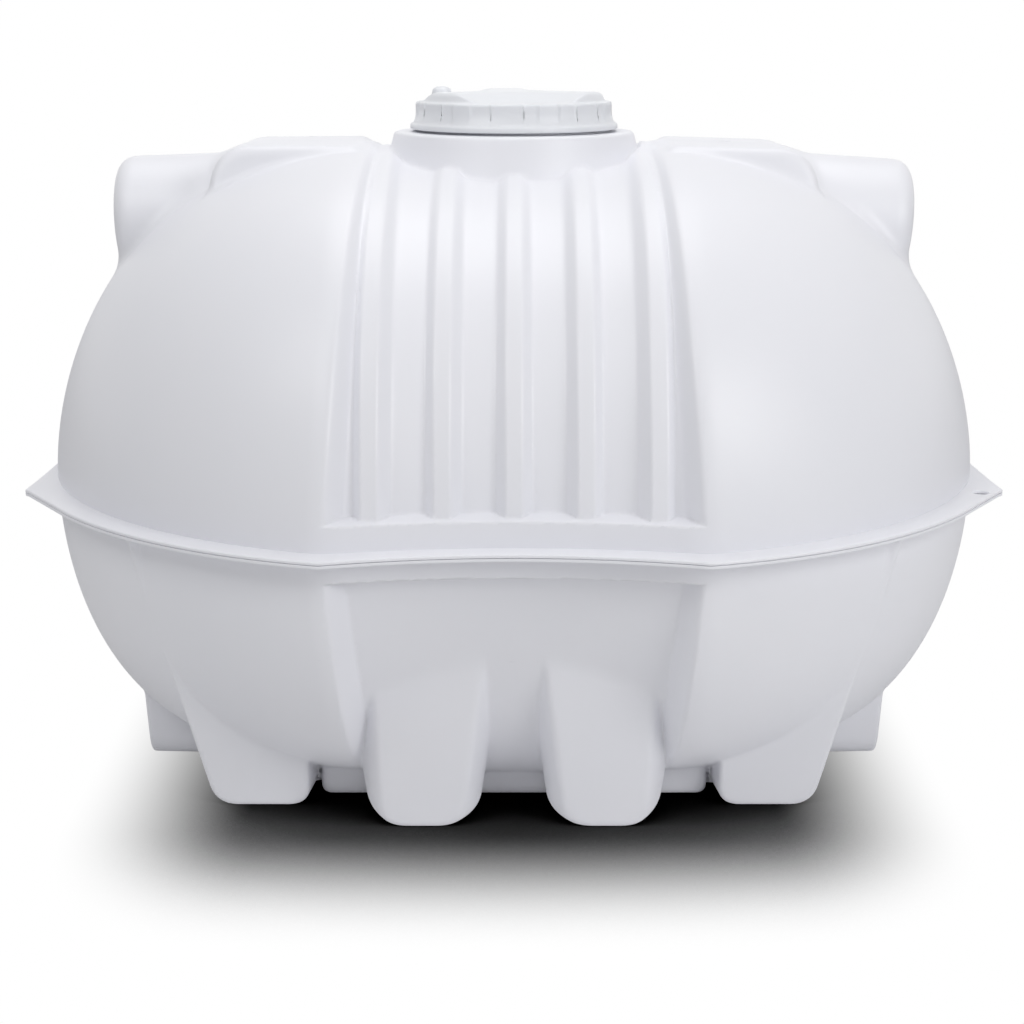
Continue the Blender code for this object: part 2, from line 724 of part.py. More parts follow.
def foot_part(name, lower, upper, cutters, material):
    """A hollow foot: a tapered cup whose mouth follows the belly above it."""
    shell = block(name, lower, upper, 0.0, FOOT_TOP, FOOT_ROUND, material, round_bottom=True)
    hollow = block(
        name + "_hollow",
        shrunk(lower, WALL),
        shrunk(upper, WALL),
        WALL,
        FOOT_TOP + CUTTER_MARGIN,
        FOOT_ROUND - WALL,
        material,
        round_bottom=True,
    )
    cut_together(shell, [as_cutter(hollow)] + cutters)
    return shell


def middle_foot_outline():
    """Corners (x, y) of a foot beside the waist, at the ground and at the top."""
    flare = FOOT_DRAFT * FOOT_TOP
    back = BASE_HALF_WIDTH + GAP
    front = MIDDLE_FOOT_FRONT
    front_top = front + MIDDLE_FOOT_LEAN * FOOT_TOP
    inner = MIDDLE_FOOT_INNER
    outer = MIDDLE_FOOT_OUTER
    splayed = outer + MIDDLE_FOOT_SPLAY + FOOT_SPLAY
    lower = [(inner, front), (outer, front), (splayed, back), (inner - FOOT_SPLAY, back)]
    upper = [
        (inner + MIDDLE_FOOT_SKEW, front_top),
        (outer + MIDDLE_FOOT_SKEW, front_top),
        (splayed + flare, back),
        (inner - FOOT_SPLAY - flare, back),
    ]
    return lower, upper


def corner_foot_outline():
    """Corners (x, y) of a foot under one corner, at the ground and at the top."""
    flare = FOOT_DRAFT * FOOT_TOP
    inner = BASE_HALF_LENGTH + GAP
    outer = CORNER_FOOT_OUTER
    front = CORNER_FOOT_FRONT
    back = CORNER_FOOT_BACK
    lower = [(inner, front), (outer, front), (outer + FOOT_SPLAY, back), (inner, back)]
    front_top = front + CORNER_FOOT_LEAN * FOOT_TOP
    upper = [
        (inner, front_top),
        (outer + CORNER_FOOT_FLARE, front_top),
        (outer + FOOT_SPLAY + CORNER_FOOT_FLARE, back - flare),
        (inner, back - flare),
    ]
    return lower, upper


def end_foot_outline():
    """Corners (x, y) of a foot under one end, at the ground and at the top."""
    flare = FOOT_DRAFT * FOOT_TOP
    root = END_FOOT_ROOT
    reach = END_FOOT_REACH
    inner = END_FOOT_INNER
    outer = END_FOOT_OUTER
    lower = [(root, inner), (reach, inner), (reach, outer), (root, outer + FOOT_SPLAY)]
    reach_top = reach + END_FOOT_LEAN * FOOT_TOP
    upper = [
        (root, inner - flare),
        (reach_top, inner),
        (reach_top, outer + FOOT_SPLAY),
        (root, outer + FOOT_SPLAY + flare),
    ]
    return lower, upper


def feet(material, bowl_cutters, waist_cutter):
    """Twelve feet: a pair under each side of the waist and each end, and one under each corner."""
    kinds = {
        "middle_foot": middle_foot_outline(),
        "corner_foot": corner_foot_outline(),
        "end_foot": end_foot_outline(),
    }
    for kind, (lower, upper) in kinds.items():
        for side, side_name in ((-1, "left"), (1, "right")):
            for way, way_name in ((-1, "front"), (1, "back")):
                low = [(side * x, way * y) for x, y in lower]
                high = [(side * x, way * y) for x, y in upper]
                cutters = [bowl_cutters[side]]
                if kind == "middle_foot":
                    cutters.append(waist_cutter)
                foot_part(f"{kind}_{way_name}_{side_name}", low, high, cutters, material)


def base_part(material, bowl_cutters, waist_cutter):
    """The shallow tray under the belly, between the feet."""
    outline = []
    for sx, sy in ((1, 1), (-1, 1), (-1, -1), (1, -1)):
        outline.append((sx * BASE_HALF_LENGTH, sy * BASE_HALF_WIDTH))
    tray = block("base_tray", outline, outline, 0.0, FOOT_TOP, BASE_ROUND, material, round_bottom=True)
    hollow = block(
        "tray_hollow",
        shrunk(outline, WALL),
        shrunk(outline, WALL),
        WALL,
        FOOT_TOP + CUTTER_MARGIN,
        BASE_ROUND - WALL,
        material,
        round_bottom=True,
    )
    cut_together(tray, [as_cutter(hollow), bowl_cutters[-1], bowl_cutters[1], waist_cutter])


def pad_block(name, side, grow, top, material):
    """Body of a pad, drafted towards its top and rounded at its edges."""
    bottom = PAD_TOP - PAD_DEPTH
    inner = PAD_INNER_X - grow
    outer = PAD_OUTER_X + grow
    half = PAD_HALF_WIDTH + grow
    draft = PAD_DRAFT * PAD_DEPTH
    lower = [(inner - draft, -half - draft), (outer + draft, -half - draft)]
    lower += [(x, -y) for x, y in lower[::-1]]
    upper = [(inner, -half), (outer, -half), (outer, half), (inner, half)]
    lower = [(side * x, y) for x, y in lower]
    upper = [(side * x, y) for x, y in upper]
    return block(name, lower, upper, bottom, top, PAD_ROUND, material, round_top=True)


def boss_path(grow, end, root):
    """Half section of a boss as (r, x) points, from the axis at its end face to the axis at its root."""
    radius = BOSS_RADIUS + grow
    turn = BOSS_ROUND + grow
    path = [(0.0, end)]
    for index in range(BOSS_ROUND_STEPS + 1):
        angle = math.pi / 2 * index / BOSS_ROUND_STEPS
        path.append((radius - turn * (1.0 - math.sin(angle)), end - turn * (1.0 - math.cos(angle))))
    return path + [(radius, root), (0.0, root)]


def boss_body(name, side, grow, end, root, material):
    """A level round bar with a rounded end, from its root inside the dome to its end face."""
    bm = bmesh.new()
    verts = [bm.verts.new((side * x, 0.0, BOSS_HEIGHT + r)) for r, x in boss_path(grow, end, root)]
    edges = [bm.edges.new(pair) for pair in zip(verts, verts[1:])]
    bmesh.ops.spin(
        bm,
        geom=verts + edges,
        cent=(0.0, 0.0, BOSS_HEIGHT),
        axis=(1.0, 0.0, 0.0),
        angle=2 * math.pi,
        steps=BOSS_TURNS,
        use_merge=True,
    )
    bmesh.ops.remove_doubles(bm, verts=bm.verts, dist=1e-6)
    return finish_mesh(bm, name, material)


def pads_and_bosses(material, dome_cutters):
    """The flat pads and the pipe bosses on both ends of the top."""
    for side, side_name in ((-1, "left"), (1, "right")):
        pad = pad_block(f"pad_{side_name}", side, 0.0, PAD_TOP, material)
        hollow = pad_block(f"pad_hollow_{side_name}", side, -WALL, PAD_TOP - WALL, material)
        pad_cutters = [as_cutter(hollow), dome_cutters[side]]
        if side > 0:
            low = PAD_TOP - CUTTER_MARGIN
            hole = as_cutter(rod("pad_hole_cutter", PAD_HOLE_RADIUS, low, PAD_TOP + CUTTER_MARGIN, material))
            hole.location = (PAD_HOLE_X, 0.0, 0.0)
            pad_cutters.append(hole)
        cut_together(pad, pad_cutters)
        fence = as_cutter(pad_block(f"pad_fence_{side_name}", side, GAP, PAD_TOP + GAP, material))
        boss = boss_body(f"pipe_boss_{side_name}", side, 0.0, BOSS_REACH, BOSS_ROOT, material)
        hollow = boss_body(
            f"boss_hollow_{side_name}",
            side,
            -WALL,
            BOSS_REACH - WALL,
            BOSS_ROOT - CUTTER_MARGIN,
            material,
        )
        cut_together(boss, [as_cutter(hollow), dome_cutters[side], fence])


def build():
    """Builds the whole tank."""
    clear_scene()
    shell = make_material("tank_polyethylene", (0.83, 0.84, 0.87), 0.42)
    foot = make_material("foot_polyethylene", (0.78, 0.79, 0.83), 0.45)
    cap = make_material("lid_polyethylene", (0.86, 0.86, 0.88), 0.35)
    rubber = make_material("seal_rubber", (0.05, 0.05, 0.05), 0.7)

    dome_cutters = {}
    bowl_cutters = {}
    for side, side_name in ((-1, "left"), (1, "right")):
        dome_part(f"upper_dome_{side_name}", side, shell, UPPER_BASE, False, UPPER_NARROWING)
        dome_part(f"lower_bowl_{side_name}", side, shell, LOWER_BASE, True, LOWER_NARROWING)
        dome_cutters[side] = as_cutter(
            dome_part(f"dome_solid_{side_name}", side, shell, UPPER_BASE, False, UPPER_NARROWING, GAP, True)
        )
        bowl_cutters[side] = as_cutter(
            dome_part(f"bowl_solid_{side_name}", side, shell, LOWER_BASE, True, LOWER_NARROWING, GAP)
        )
    saddle = waist_part("upper_waist", shell, UPPER_BASE, False)
    waist_part("lower_waist", shell, LOWER_BASE, True)
    waist_cutter = as_cutter(waist_part("waist_solid", shell, LOWER_BASE, True, solid=True))
    hole = rod(
        "manhole_cutter",
        COLLAR_SKIRT_RADIUS + GAP,
        COLLAR_TOP - COLLAR_SKIRT_DEPTH - CUTTER_MARGIN,
        NECK_TOP + CUTTER_MARGIN,
        shell,
        ROUND_TURNS,
    )
    cut(saddle, as_cutter(hole))

    flange_parts(shell)
    turned("manhole_collar", collar_path(), shell)
    seal_bottom = NECK_TOP + GAP
    seal_inner = NECK_RADIUS - SEAL_WIDTH
    turned(
        "lid_seal",
        [
            (NECK_RADIUS, seal_bottom),
            (NECK_RADIUS, seal_bottom + SEAL_THICKNESS),
            (seal_inner, seal_bottom + SEAL_THICKNESS),
            (seal_inner, seal_bottom),
        ],
        rubber,
    )
    lid_part(cap)
    crown_part(cap)
    vent_parts(cap)
    pads_and_bosses(shell, dome_cutters)
    feet(foot, bowl_cutters, waist_cutter)
    base_part(foot, bowl_cutters, waist_cutter)


build()
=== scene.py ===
"""Studio scene of a horizontal water tank, rotationally moulded in white polyethylene.

The mould's surfaces are written below as signed distances in metres. Each skin is roughed out from a bmesh
primitive, given even faces and settled on its mould. The front is -Y, the length runs along X, up is +Z.
"""

import logging
import math
from dataclasses import dataclass
from enum import Enum
from typing import Callable

import bmesh
import bpy
import numpy as np
from bmesh.types import BMEdge, BMesh, BMVert
from bpy.types import Material, Mesh, Node, NodeSocket, NodeTree
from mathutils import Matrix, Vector


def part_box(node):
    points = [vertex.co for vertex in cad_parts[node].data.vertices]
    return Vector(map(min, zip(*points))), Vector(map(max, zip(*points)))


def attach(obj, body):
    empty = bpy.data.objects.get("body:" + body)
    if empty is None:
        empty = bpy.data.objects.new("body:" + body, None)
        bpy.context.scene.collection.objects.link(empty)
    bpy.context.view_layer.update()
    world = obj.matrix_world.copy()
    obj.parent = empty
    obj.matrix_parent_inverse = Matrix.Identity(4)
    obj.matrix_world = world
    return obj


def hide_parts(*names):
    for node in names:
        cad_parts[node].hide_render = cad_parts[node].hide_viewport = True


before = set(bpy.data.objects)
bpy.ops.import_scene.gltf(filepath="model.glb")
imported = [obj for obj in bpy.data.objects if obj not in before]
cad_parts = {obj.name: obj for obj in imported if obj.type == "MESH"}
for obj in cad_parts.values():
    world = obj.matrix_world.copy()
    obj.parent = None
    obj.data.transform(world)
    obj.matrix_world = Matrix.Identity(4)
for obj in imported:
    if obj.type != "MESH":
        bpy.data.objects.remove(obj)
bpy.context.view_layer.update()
LOG = logging.getLogger("water_tank")

# Keeps a division by a vanishing length finite
TINY_LENGTH = 1e-12
# Edges that turn more than this stay sharp where a mesh has no normals of its own
SHARP_ANGLE = math.radians(40.0)
BEVEL_SEGMENTS = 3
# Points of a turned part that are nearer than this are one point
MERGE_DISTANCE = 1e-6
# How far a moulding's edge reaches into the flange that hides it
FLANGE_OVERLAP = 0.004
# Sockets of a Mix node that mixes colours
MIX_A, MIX_B, MIX_RESULT = 6, 7, 2

Array = np.ndarray
Field = Callable[[Array], Array]
Points = tuple[tuple[float, float], ...]


class Body(Enum):
    """The two rigid bodies of the tank."""

    TANK = "tank"
    LID = "lid"


class Slot(Enum):
    """Material slots of the tank's record."""

    SHELL = "tank_plastic"
    LID = "lid_plastic"


class Side(Enum):
    """The two ends of the tank, seen from the front."""

    LEFT = -1
    RIGHT = 1


def linear(code: str) -> tuple[float, float, float, float]:
    """Turns an sRGB hex colour to linear values.

    Args:
        code: Six hex digits after a hash sign.

    Returns:
        Linear red, green and blue, and an alpha of 1.
    """
    values = [int(code[index : index + 2], 16) / 255.0 for index in (1, 3, 5)]
    red, green, blue = [v / 12.92 if v <= 0.04045 else ((v + 0.055) / 1.055) ** 2.4 for v in values]
    return red, green, blue, 1.0


def add_node(tree: NodeTree, kind: str, sockets: dict, **settings: object) -> Node:
    """Adds a shader node.

    Args:
        tree: The material's or world's node tree.
        kind: Blender's name of the node type.
        sockets: Input name to a value, or to the output socket that feeds it.
        settings: Attributes set on the node itself.

    Returns:
        The new node.
    """
    node = tree.nodes.new(kind)
    for name, value in settings.items():
        setattr(node, name, value)
    for name, value in sockets.items():
        if isinstance(value, NodeSocket):
            tree.links.new(value, node.inputs[name])
        else:
            node.inputs[name].default_value = value
    return node


def add_noise(
    tree: NodeTree, at: NodeSocket, scale: float, detail: float, roughness: float = 0.5
) -> NodeSocket:
    """Adds a noise texture.

    Args:
        tree: The material's node tree.
        at: Socket with the coordinates.
        scale: Cells to a metre.
        detail: Octaves of finer noise.
        roughness: Share of the finer octaves.

    Returns:
        The socket of its value.
    """
    sockets = {"Vector": at, "Scale": scale, "Detail": detail, "Roughness": roughness}
    return add_node(tree, "ShaderNodeTexNoise", sockets).outputs["Fac"]


def add_mix(
    tree: NodeTree, share: NodeSocket, first: object, second: object
) -> NodeSocket:
    """Adds a mix of two colours.

    Args:
        tree: The material's node tree.
        share: Socket with the second colour's share.
        first: First colour, or the socket that gives it.
        second: Second colour, or the socket that gives it.

    Returns:
        The socket of the mixed colour.
    """
    sockets = {"Factor": share, MIX_A: first, MIX_B: second}
    return add_node(tree, "ShaderNodeMix", sockets, data_type="RGBA").outputs[MIX_RESULT]


def soft_max(first: Array, second: Array, blend: float) -> Array:
    """Larger of two distances, with a rounded edge where they are within blend of each other."""
    near = np.clip(blend - np.abs(first - second), 0.0, None)
    return np.maximum(first, second) + near**2 / (4.0 * blend)


def soft_min(first: Array, second: Array, blend: float) -> Array:
    """Smaller of two distances, with a fillet where they are within blend of each other."""
    return -soft_max(-first, -second, blend)


def clamped(value: Array, top: Array, blend: float) -> Array:
    """Value held between 0 and top, rounded at both ends."""
    return soft_min(soft_max(value, 0.0 * value, blend), top, blend)


def turned_distance(out: Array, up: Array, radius: float, top: float, blend: float) -> Array:
    """Distance to an upright round bar that ends at a height, with a rounded top edge."""
    return soft_max(out - radius, up - top, blend)


def unit_rows(rows: Array) -> Array:
    """Rows scaled to length one."""
    return rows / np.maximum(np.linalg.norm(rows, axis=1, keepdims=True), TINY_LENGTH)


def shortened(moves: Array, longest: float) -> Array:
    """Rows held to a longest length."""
    length = np.maximum(np.linalg.norm(moves, axis=1, keepdims=True), TINY_LENGTH)
    return moves * np.minimum(1.0, longest / length)


def as_mesh(bm: BMesh, name: str) -> Mesh:
    """Turns a bmesh into a mesh and frees it."""
    mesh = bpy.data.meshes.new(name)
    bm.to_mesh(mesh)
    bm.free()
    return mesh


def round_edges(bm: BMesh, edges: list[BMEdge], width: float) -> None:
    """Rounds edges to a width."""
    bmesh.ops.bevel(
        bm, geom=edges, offset=width, segments=BEVEL_SEGMENTS, profile=0.5, affect="EDGES", material=-1
    )


def shade_edged(mesh: Mesh) -> None:
    """Shades a mesh smooth between its sharp edges."""
    mesh.shade_smooth()
    mesh.set_sharp_from_angle(angle=SHARP_ANGLE)


@dataclass(frozen=True)
class DomedHalf:
    """One half of the mould: two turned domes and the waist between them.

    A dome is a superellipse turned about an upright axis at centre from the middle. The waist follows the
    curve in which the dome meets the plane at half_width, narrowed with the height above the flange.
    """

    base: float
    upward: float
    rise: float
    roundness: float
    flatness: float
    narrowing: float
    flattening: float = 0.0
    centre: float = 0.100
    radius: float = 0.990
    half_width: float = 0.385
    dip: float = 0.051
    crest_blend: float = 0.022
    mean_power: float = 2.4
    tiny: float = 1e-4

    def height(self, z: Array) -> Array:
        """Height above the flange, or depth below it."""
        return np.maximum(self.upward * (z - self.base), self.tiny)

    def edge(self, h: Array) -> Array:
        """Half width of the waist at a height."""
        return self.half_width - self.narrowing * h

    def level(self, x: Array, y: Array, h: Array) -> tuple[Array, ...]:
        """Superellipse level, its slopes outwards and upwards, and the distance from the dome's axis."""
        out = np.maximum(np.hypot(x - self.centre, y), self.tiny)
        roundness = self.roundness - self.flattening * (y / out) ** 2
        plan = (out / self.radius) ** roundness
        tall = (h / self.rise) ** self.flatness
        total = plan + tall
        share = total ** (1.0 / self.mean_power - 1.0) / self.mean_power
        outward = share * roundness * plan / out
        upward = share * self.flatness * tall / h
        return total ** (1.0 / self.mean_power) - 1.0, outward, upward, out

    def dome(self, x: Array, y: Array, h: Array) -> Array:
        """Distance to the nearer dome."""
        level, outward, upward, _ = self.level(x, y, h)
        return level / np.maximum(np.hypot(outward, upward), self.tiny)

    def section(self, y: Array, h: Array) -> Array:
        """Distance to the dome's cut edge, measured in a plane across the tank."""
        edge = self.edge(h)
        level, outward, upward, out = self.level(edge, y, h)
        across = outward * y / out
        along = upward - outward * self.narrowing * (edge - self.centre) / out
        return level / np.maximum(np.hypot(across, along), self.tiny)


@dataclass(frozen=True)
class RibbedWaist:
    """The sunk, ribbed panel over the top of the waist."""

    sink: float = 0.042
    sink_top: float = 0.028
    side: float = 0.040
    sill: float = 0.054
    sill_rise: float = 0.009
    top_dip_share: float = 0.4
    ribs: int = 5
    rib_pitch: float = 0.1455
    rib_foot: float = 0.0385
    rib_crest: float = 0.0175
    rib_rise: float = 0.027
    rib_rise_top: float = 0.016
    rib_blend: float = 0.005
    rib_blend_top: float = 0.010
    lip_blend: float = 0.007

    def distance(self, half: DomedHalf, x: Array, y: Array, h: Array) -> Array:
        """Distance to the waist's surface with its panel and ribs.

        Args:
            half: The half of the mould that the waist joins.
            x: Distance from the middle along the tank.
            y: Distance from the middle across it.
            h: Height above the flange.

        Returns:
            The distance at each point.
        """
        edge = half.edge(h)
        narrow = edge / half.half_width
        steep = h**2 / (h**2 + y**2)
        dip = half.dip * (1.0 + (self.top_dip_share - 1.0) * steep)
        sink = self.sink + (self.sink_top - self.sink) * steep
        rise = self.rib_rise + (self.rib_rise_top - self.rib_rise) * steep
        blend = self.rib_blend + (self.rib_blend_top - self.rib_blend) * steep
        from_side = (edge - x) * sink / (self.side * narrow)
        from_sill = (h - self.sill) * sink / self.sill_rise
        recess = clamped(soft_min(from_side, from_sill, self.lip_blend), sink, self.lip_blend)
        steps = (self.ribs - 1) // 2
        centre = self.rib_pitch * np.clip(np.round(x / self.rib_pitch), -steps, steps)
        crest = rise + dip * (centre**2 - x**2) / edge**2
        down = (np.abs(x - centre) - self.rib_crest) * rise / (self.rib_foot - self.rib_crest)
        rib = soft_max(soft_min(crest, crest - down, blend), 0.0 * x, blend)
        offset = soft_max(-recess, rib - sink, blend)
        return half.section(y, h) + dip * (1.0 - (x / edge) ** 2) - offset


@dataclass(frozen=True)
class PlainWaist:
    """The waist under the flange, with a plain sunk panel below a straight border."""

    sink: float = 0.036
    hollow: float = 0.037
    side: float = 0.040
    border: float = 0.050
    ledge: float = 0.005
    bay_power: float = 1.5
    lip_blend: float = 0.005

    def distance(self, half: DomedHalf, x: Array, y: Array, h: Array) -> Array:
        """Distance to the waist's surface with its panel.

        Args:
            half: The half of the mould that the waist joins.
            x: Distance from the middle along the tank.
            y: Distance from the middle across it.
            h: Depth below the flange.

        Returns:
            The distance at each point.
        """
        edge = half.edge(h)
        angle = np.arctan2(h, np.maximum(y, half.tiny))
        level = np.clip(np.cos(2.0 * angle), 0.0, 1.0)
        bay = np.sin(np.clip(4.0 * angle, 0.0, math.pi)) ** self.bay_power
        sink = self.sink * level + self.hollow * bay + half.tiny
        from_side = (edge - x) * sink / self.side
        from_border = (h - self.border) * sink / self.ledge
        recess = clamped(soft_min(from_side, from_border, self.lip_blend), sink, self.lip_blend)
        return half.section(y, h) + half.dip * level * (1.0 - (x / edge) ** 2) + recess


@dataclass(frozen=True)
class Pad:
    """A flat pad beside the manhole, drafted on its sides and rounded down towards the boss."""

    tilt: float
    top: float = 1.417
    inner: float = 0.353
    outer: float = 0.672
    half_width: float = 0.206
    draft: float = 0.20
    edge_blend: float = 0.022
    end_blend: float = 0.075
    hole_at: float = 0.495
    hole_radius: float = 0.013
    hole_depth: float = 0.030

    def distance(self, x: Array, y: Array, z: Array) -> Array:
        """Distance to the pad, from the distances x along and y across the tank and the height z."""
        lean = math.hypot(1.0, self.draft)
        below = self.top - z
        roof = z - self.top + self.tilt * (x - self.inner)
        end = (x - self.outer - self.draft * below) / lean
        flank = (y - self.half_width - self.draft * below) / lean
        start = (self.inner - self.draft * below - x) / lean
        body = soft_max(roof, end, self.end_blend)
        body = soft_max(body, flank, self.edge_blend)
        return soft_max(body, start, self.edge_blend)

    def hole(self, x: Array, y: Array, z: Array) -> Array:
        """Distance to the small blind hole in the pad's top."""
        return np.maximum(np.hypot(x - self.hole_at, y) - self.hole_radius, self.top - self.hole_depth - z)


@dataclass(frozen=True)
class Boss:
    """A round boss for a pipe fitting, drooping a little towards its flat end."""

    reach: float
    droop: float
    height: float = 1.242
    radius: float = 0.147
    pivot: float = 0.660
    root: float = 0.300
    crown: float = 0.004
    edge_blend: float = 0.048

    def distance(self, x: Array, y: Array, z: Array) -> Array:
        """Distance to the boss, from the distances x along and y across the tank and the height z."""
        lean = math.radians(self.droop)
        length = self.reach - self.pivot - self.radius * math.sin(lean)
        along = (x - self.pivot) * math.cos(lean) - (z - self.height) * math.sin(lean)
        up = (x - self.pivot) * math.sin(lean) + (z - self.height) * math.cos(lean)
        out = np.hypot(y, up)
        end = along - length + self.crown * (out / self.radius) ** 2
        return np.maximum(soft_max(out - self.radius, end, self.edge_blend), self.root - x)


@dataclass(frozen=True)
class Collar:
    """The flared collar of the manhole and the neck that the lid screws on."""

    top: float = 1.439
    radius: float = 0.2806
    flare: float = 0.24
    edge_blend: float = 0.009
    neck_radius: float = 0.220
    neck_top: float = 1.488
    neck_blend: float = 0.003

    def distance(self, x: Array, y: Array, z: Array) -> Array:
        """Distance to the collar without its neck."""
        out = np.hypot(x, y)
        wall = (out - self.radius - self.flare * (self.top - z)) / math.hypot(1.0, self.flare)
        return soft_max(wall, z - self.top, self.edge_blend)

    def neck(self, x: Array, y: Array, z: Array) -> Array:
        """Distance to the neck under the lid."""
        return turned_distance(np.hypot(x, y), z, self.neck_radius, self.neck_top, self.neck_blend)


@dataclass(frozen=True)
class Foot:
    """A tapered foot between its corners on the ground and those at its top."""

    ground: Points
    top: Points
    face: int
    tall: float = 0.440
    corner_blend: float = 0.030
    ground_blend: float = 0.048
    face_blend: float = 0.010

    def wall(self, index: int, points: Array) -> Array:
        """Distance in front of one of the drafted walls."""
        after = (index + 1) % len(self.ground)
        first = Vector((*self.ground[index], 0.0))
        along = Vector((*self.ground[after], 0.0)) - first
        upward = Vector((*self.top[index], self.tall)) - first
        normal = along.cross(upward).normalized()
        middle = sum((Vector((*corner, 0.0)) for corner in self.ground), Vector()) / len(self.ground)
        if normal.dot(middle - first) > 0.0:
            normal = -normal
        return (points - np.array(first)) @ np.array(normal)

    def distance(self, points: Array) -> Array:
        """Distance to the foot, from points in the quarter where x and y are positive."""
        others = [index for index in range(len(self.ground)) if index != self.face]
        body = self.wall(others[0], points)
        for index in others[1:]:
            body = soft_max(body, self.wall(index, points), self.corner_blend)
        body = soft_max(body, -points[:, 2], self.ground_blend)
        body = soft_max(body, self.wall(self.face, points), self.face_blend)
        return np.maximum(body, -points[:, 2])


@dataclass(frozen=True)
class UpperMould:
    """Outer surface of the tank's upper half."""

    half: DomedHalf
    waist: RibbedWaist
    pads: dict[Side, Pad]
    bosses: dict[Side, Boss]
    collar: Collar
    pad_fillet: float = 0.016
    boss_fillet: float = 0.030
    collar_fillet: float = 0.007
    neck_fillet: float = 0.004
    hole_edge: float = 0.004

    def distance(self, points: Array) -> Array:
        """Distance to the skin at each point, positive outside."""
        x, y, z = points.T
        along = np.abs(x)
        across = np.abs(y)
        h = self.half.height(z)
        body = soft_max(
            self.half.dome(along, across, h),
            self.waist.distance(self.half, along, across, h),
            self.half.crest_blend,
        )
        for side in Side:
            outward = side.value * x
            body = soft_min(body, self.pads[side].distance(outward, across, z), self.pad_fillet)
            body = soft_min(body, self.bosses[side].distance(outward, across, z), self.boss_fillet)
        body = soft_min(body, self.collar.distance(x, y, z), self.collar_fillet)
        body = soft_min(body, self.collar.neck(x, y, z), self.neck_fillet)
        return soft_max(body, -self.pads[Side.RIGHT].hole(x, y, z), self.hole_edge)


@dataclass(frozen=True)
class LowerMould:
    """Outer surface of the tank's lower half, with the feet and the tray between them."""

    half: DomedHalf
    waist: PlainWaist
    feet: tuple[Foot, ...]
    tray_length: float = 0.433
    tray_width: float = 0.568
    tray_blend: float = 0.024
    foot_fillet: float = 0.007

    def tray(self, x: Array, y: Array, z: Array) -> Array:
        """Distance to the shallow tray under the belly."""
        sides = soft_max(x - self.tray_length, -z, self.tray_blend)
        return np.maximum(soft_max(sides, y - self.tray_width, self.tray_blend), -z)

    def distance(self, points: Array) -> Array:
        """Distance to the skin at each point, positive outside."""
        mirrored = np.abs(points) * (1.0, 1.0, 0.0) + points * (0.0, 0.0, 1.0)
        x, y, z = mirrored.T
        h = self.half.height(z)
        body = soft_max(
            self.half.dome(x, y, h), self.waist.distance(self.half, x, y, h), self.half.crest_blend
        )
        for shape in (self.tray(x, y, z), *(foot.distance(mirrored) for foot in self.feet)):
            body = soft_min(body, shape, self.foot_fillet)
        return body


@dataclass(frozen=True)
class LidMould:
    """The screwed lid: a cap with grips on a flat rim, with three shallow scoops in its crown."""

    bottom: float = 1.445
    rim_radius: float = 0.2430
    rim_top: float = 1.459
    radius: float = 0.2300
    shoulder: float = 1.508
    crown: float = 1.531
    crown_radius: float = 0.203
    crown_draft: float = 0.45
    grips: int = 7
    grip_phase: float = -31.5
    grip_span: float = 13.0
    grip_edge: float = 1.0
    grip_rise: float = 0.0040
    ridge_turns: tuple[float, ...] = (18.5, 37.0)
    ridge_rise: float = 0.0028
    ridge_width: float = 0.0030
    scoops: int = 3
    scoop_phase: float = 7.0
    scoop_axis: float = 0.298
    scoop_radius: float = 0.218
    scoop_slope: float = 3.0
    bore: float = 0.2218
    ceiling: float = 1.494
    shoulder_blend: float = 0.007
    crown_blend: float = 0.010
    crown_fillet: float = 0.006
    scoop_blend: float = 0.005
    rim_blend: float = 0.007
    rim_fillet: float = 0.004
    ceiling_blend: float = 0.004
    bore_blend: float = 0.002
    bottom_blend: float = 0.003

    def wall(self, out: Array, turn: Array) -> Array:
        """Distance to the gripped wall, from the distance out and the angle from the front in degrees."""
        step = 360.0 / self.grips
        past = np.mod(turn - self.grip_phase, step)
        to_grip = np.minimum(past, step - past)
        inside = (self.grip_span / 2.0 + self.grip_edge - to_grip) / (2.0 * self.grip_edge)
        relief = self.grip_rise * np.clip(inside, 0.0, 1.0)
        for ridge in self.ridge_turns:
            arc = np.radians(np.abs(past - ridge)) * self.radius
            relief = relief + self.ridge_rise * np.exp(-((arc / self.ridge_width) ** 2))
        return out - self.radius + self.grip_rise - relief

    def distance(self, points: Array) -> Array:
        """Distance to the lid at each point, positive outside."""
        x, y, z = points.T
        out = np.hypot(x, y)
        turn = np.degrees(np.arctan2(x, -y))
        cap = soft_max(self.wall(out, turn), z - self.shoulder, self.shoulder_blend)
        slant = out - self.crown_radius - self.crown_draft * (self.crown - z)
        crown = soft_max(slant / math.hypot(1.0, self.crown_draft), z - self.crown, self.crown_blend)
        for index in range(self.scoops):
            angle = math.radians(self.scoop_phase + 360.0 * index / self.scoops)
            away = np.hypot(x - self.scoop_axis * math.sin(angle), y + self.scoop_axis * math.cos(angle))
            cone = self.scoop_radius - self.scoop_slope * (self.crown - z) - away
            crown = soft_max(crown, cone / math.hypot(1.0, self.scoop_slope), self.scoop_blend)
        body = soft_min(cap, crown, self.crown_fillet)
        rim = turned_distance(out, z, self.rim_radius, self.rim_top, self.rim_blend)
        body = soft_min(body, rim, self.rim_fillet)
        hollow = turned_distance(out, z, self.bore, self.ceiling, self.ceiling_blend)
        body = soft_max(body, -hollow, self.bore_blend)
        return soft_max(body, self.bottom - z, self.bottom_blend)


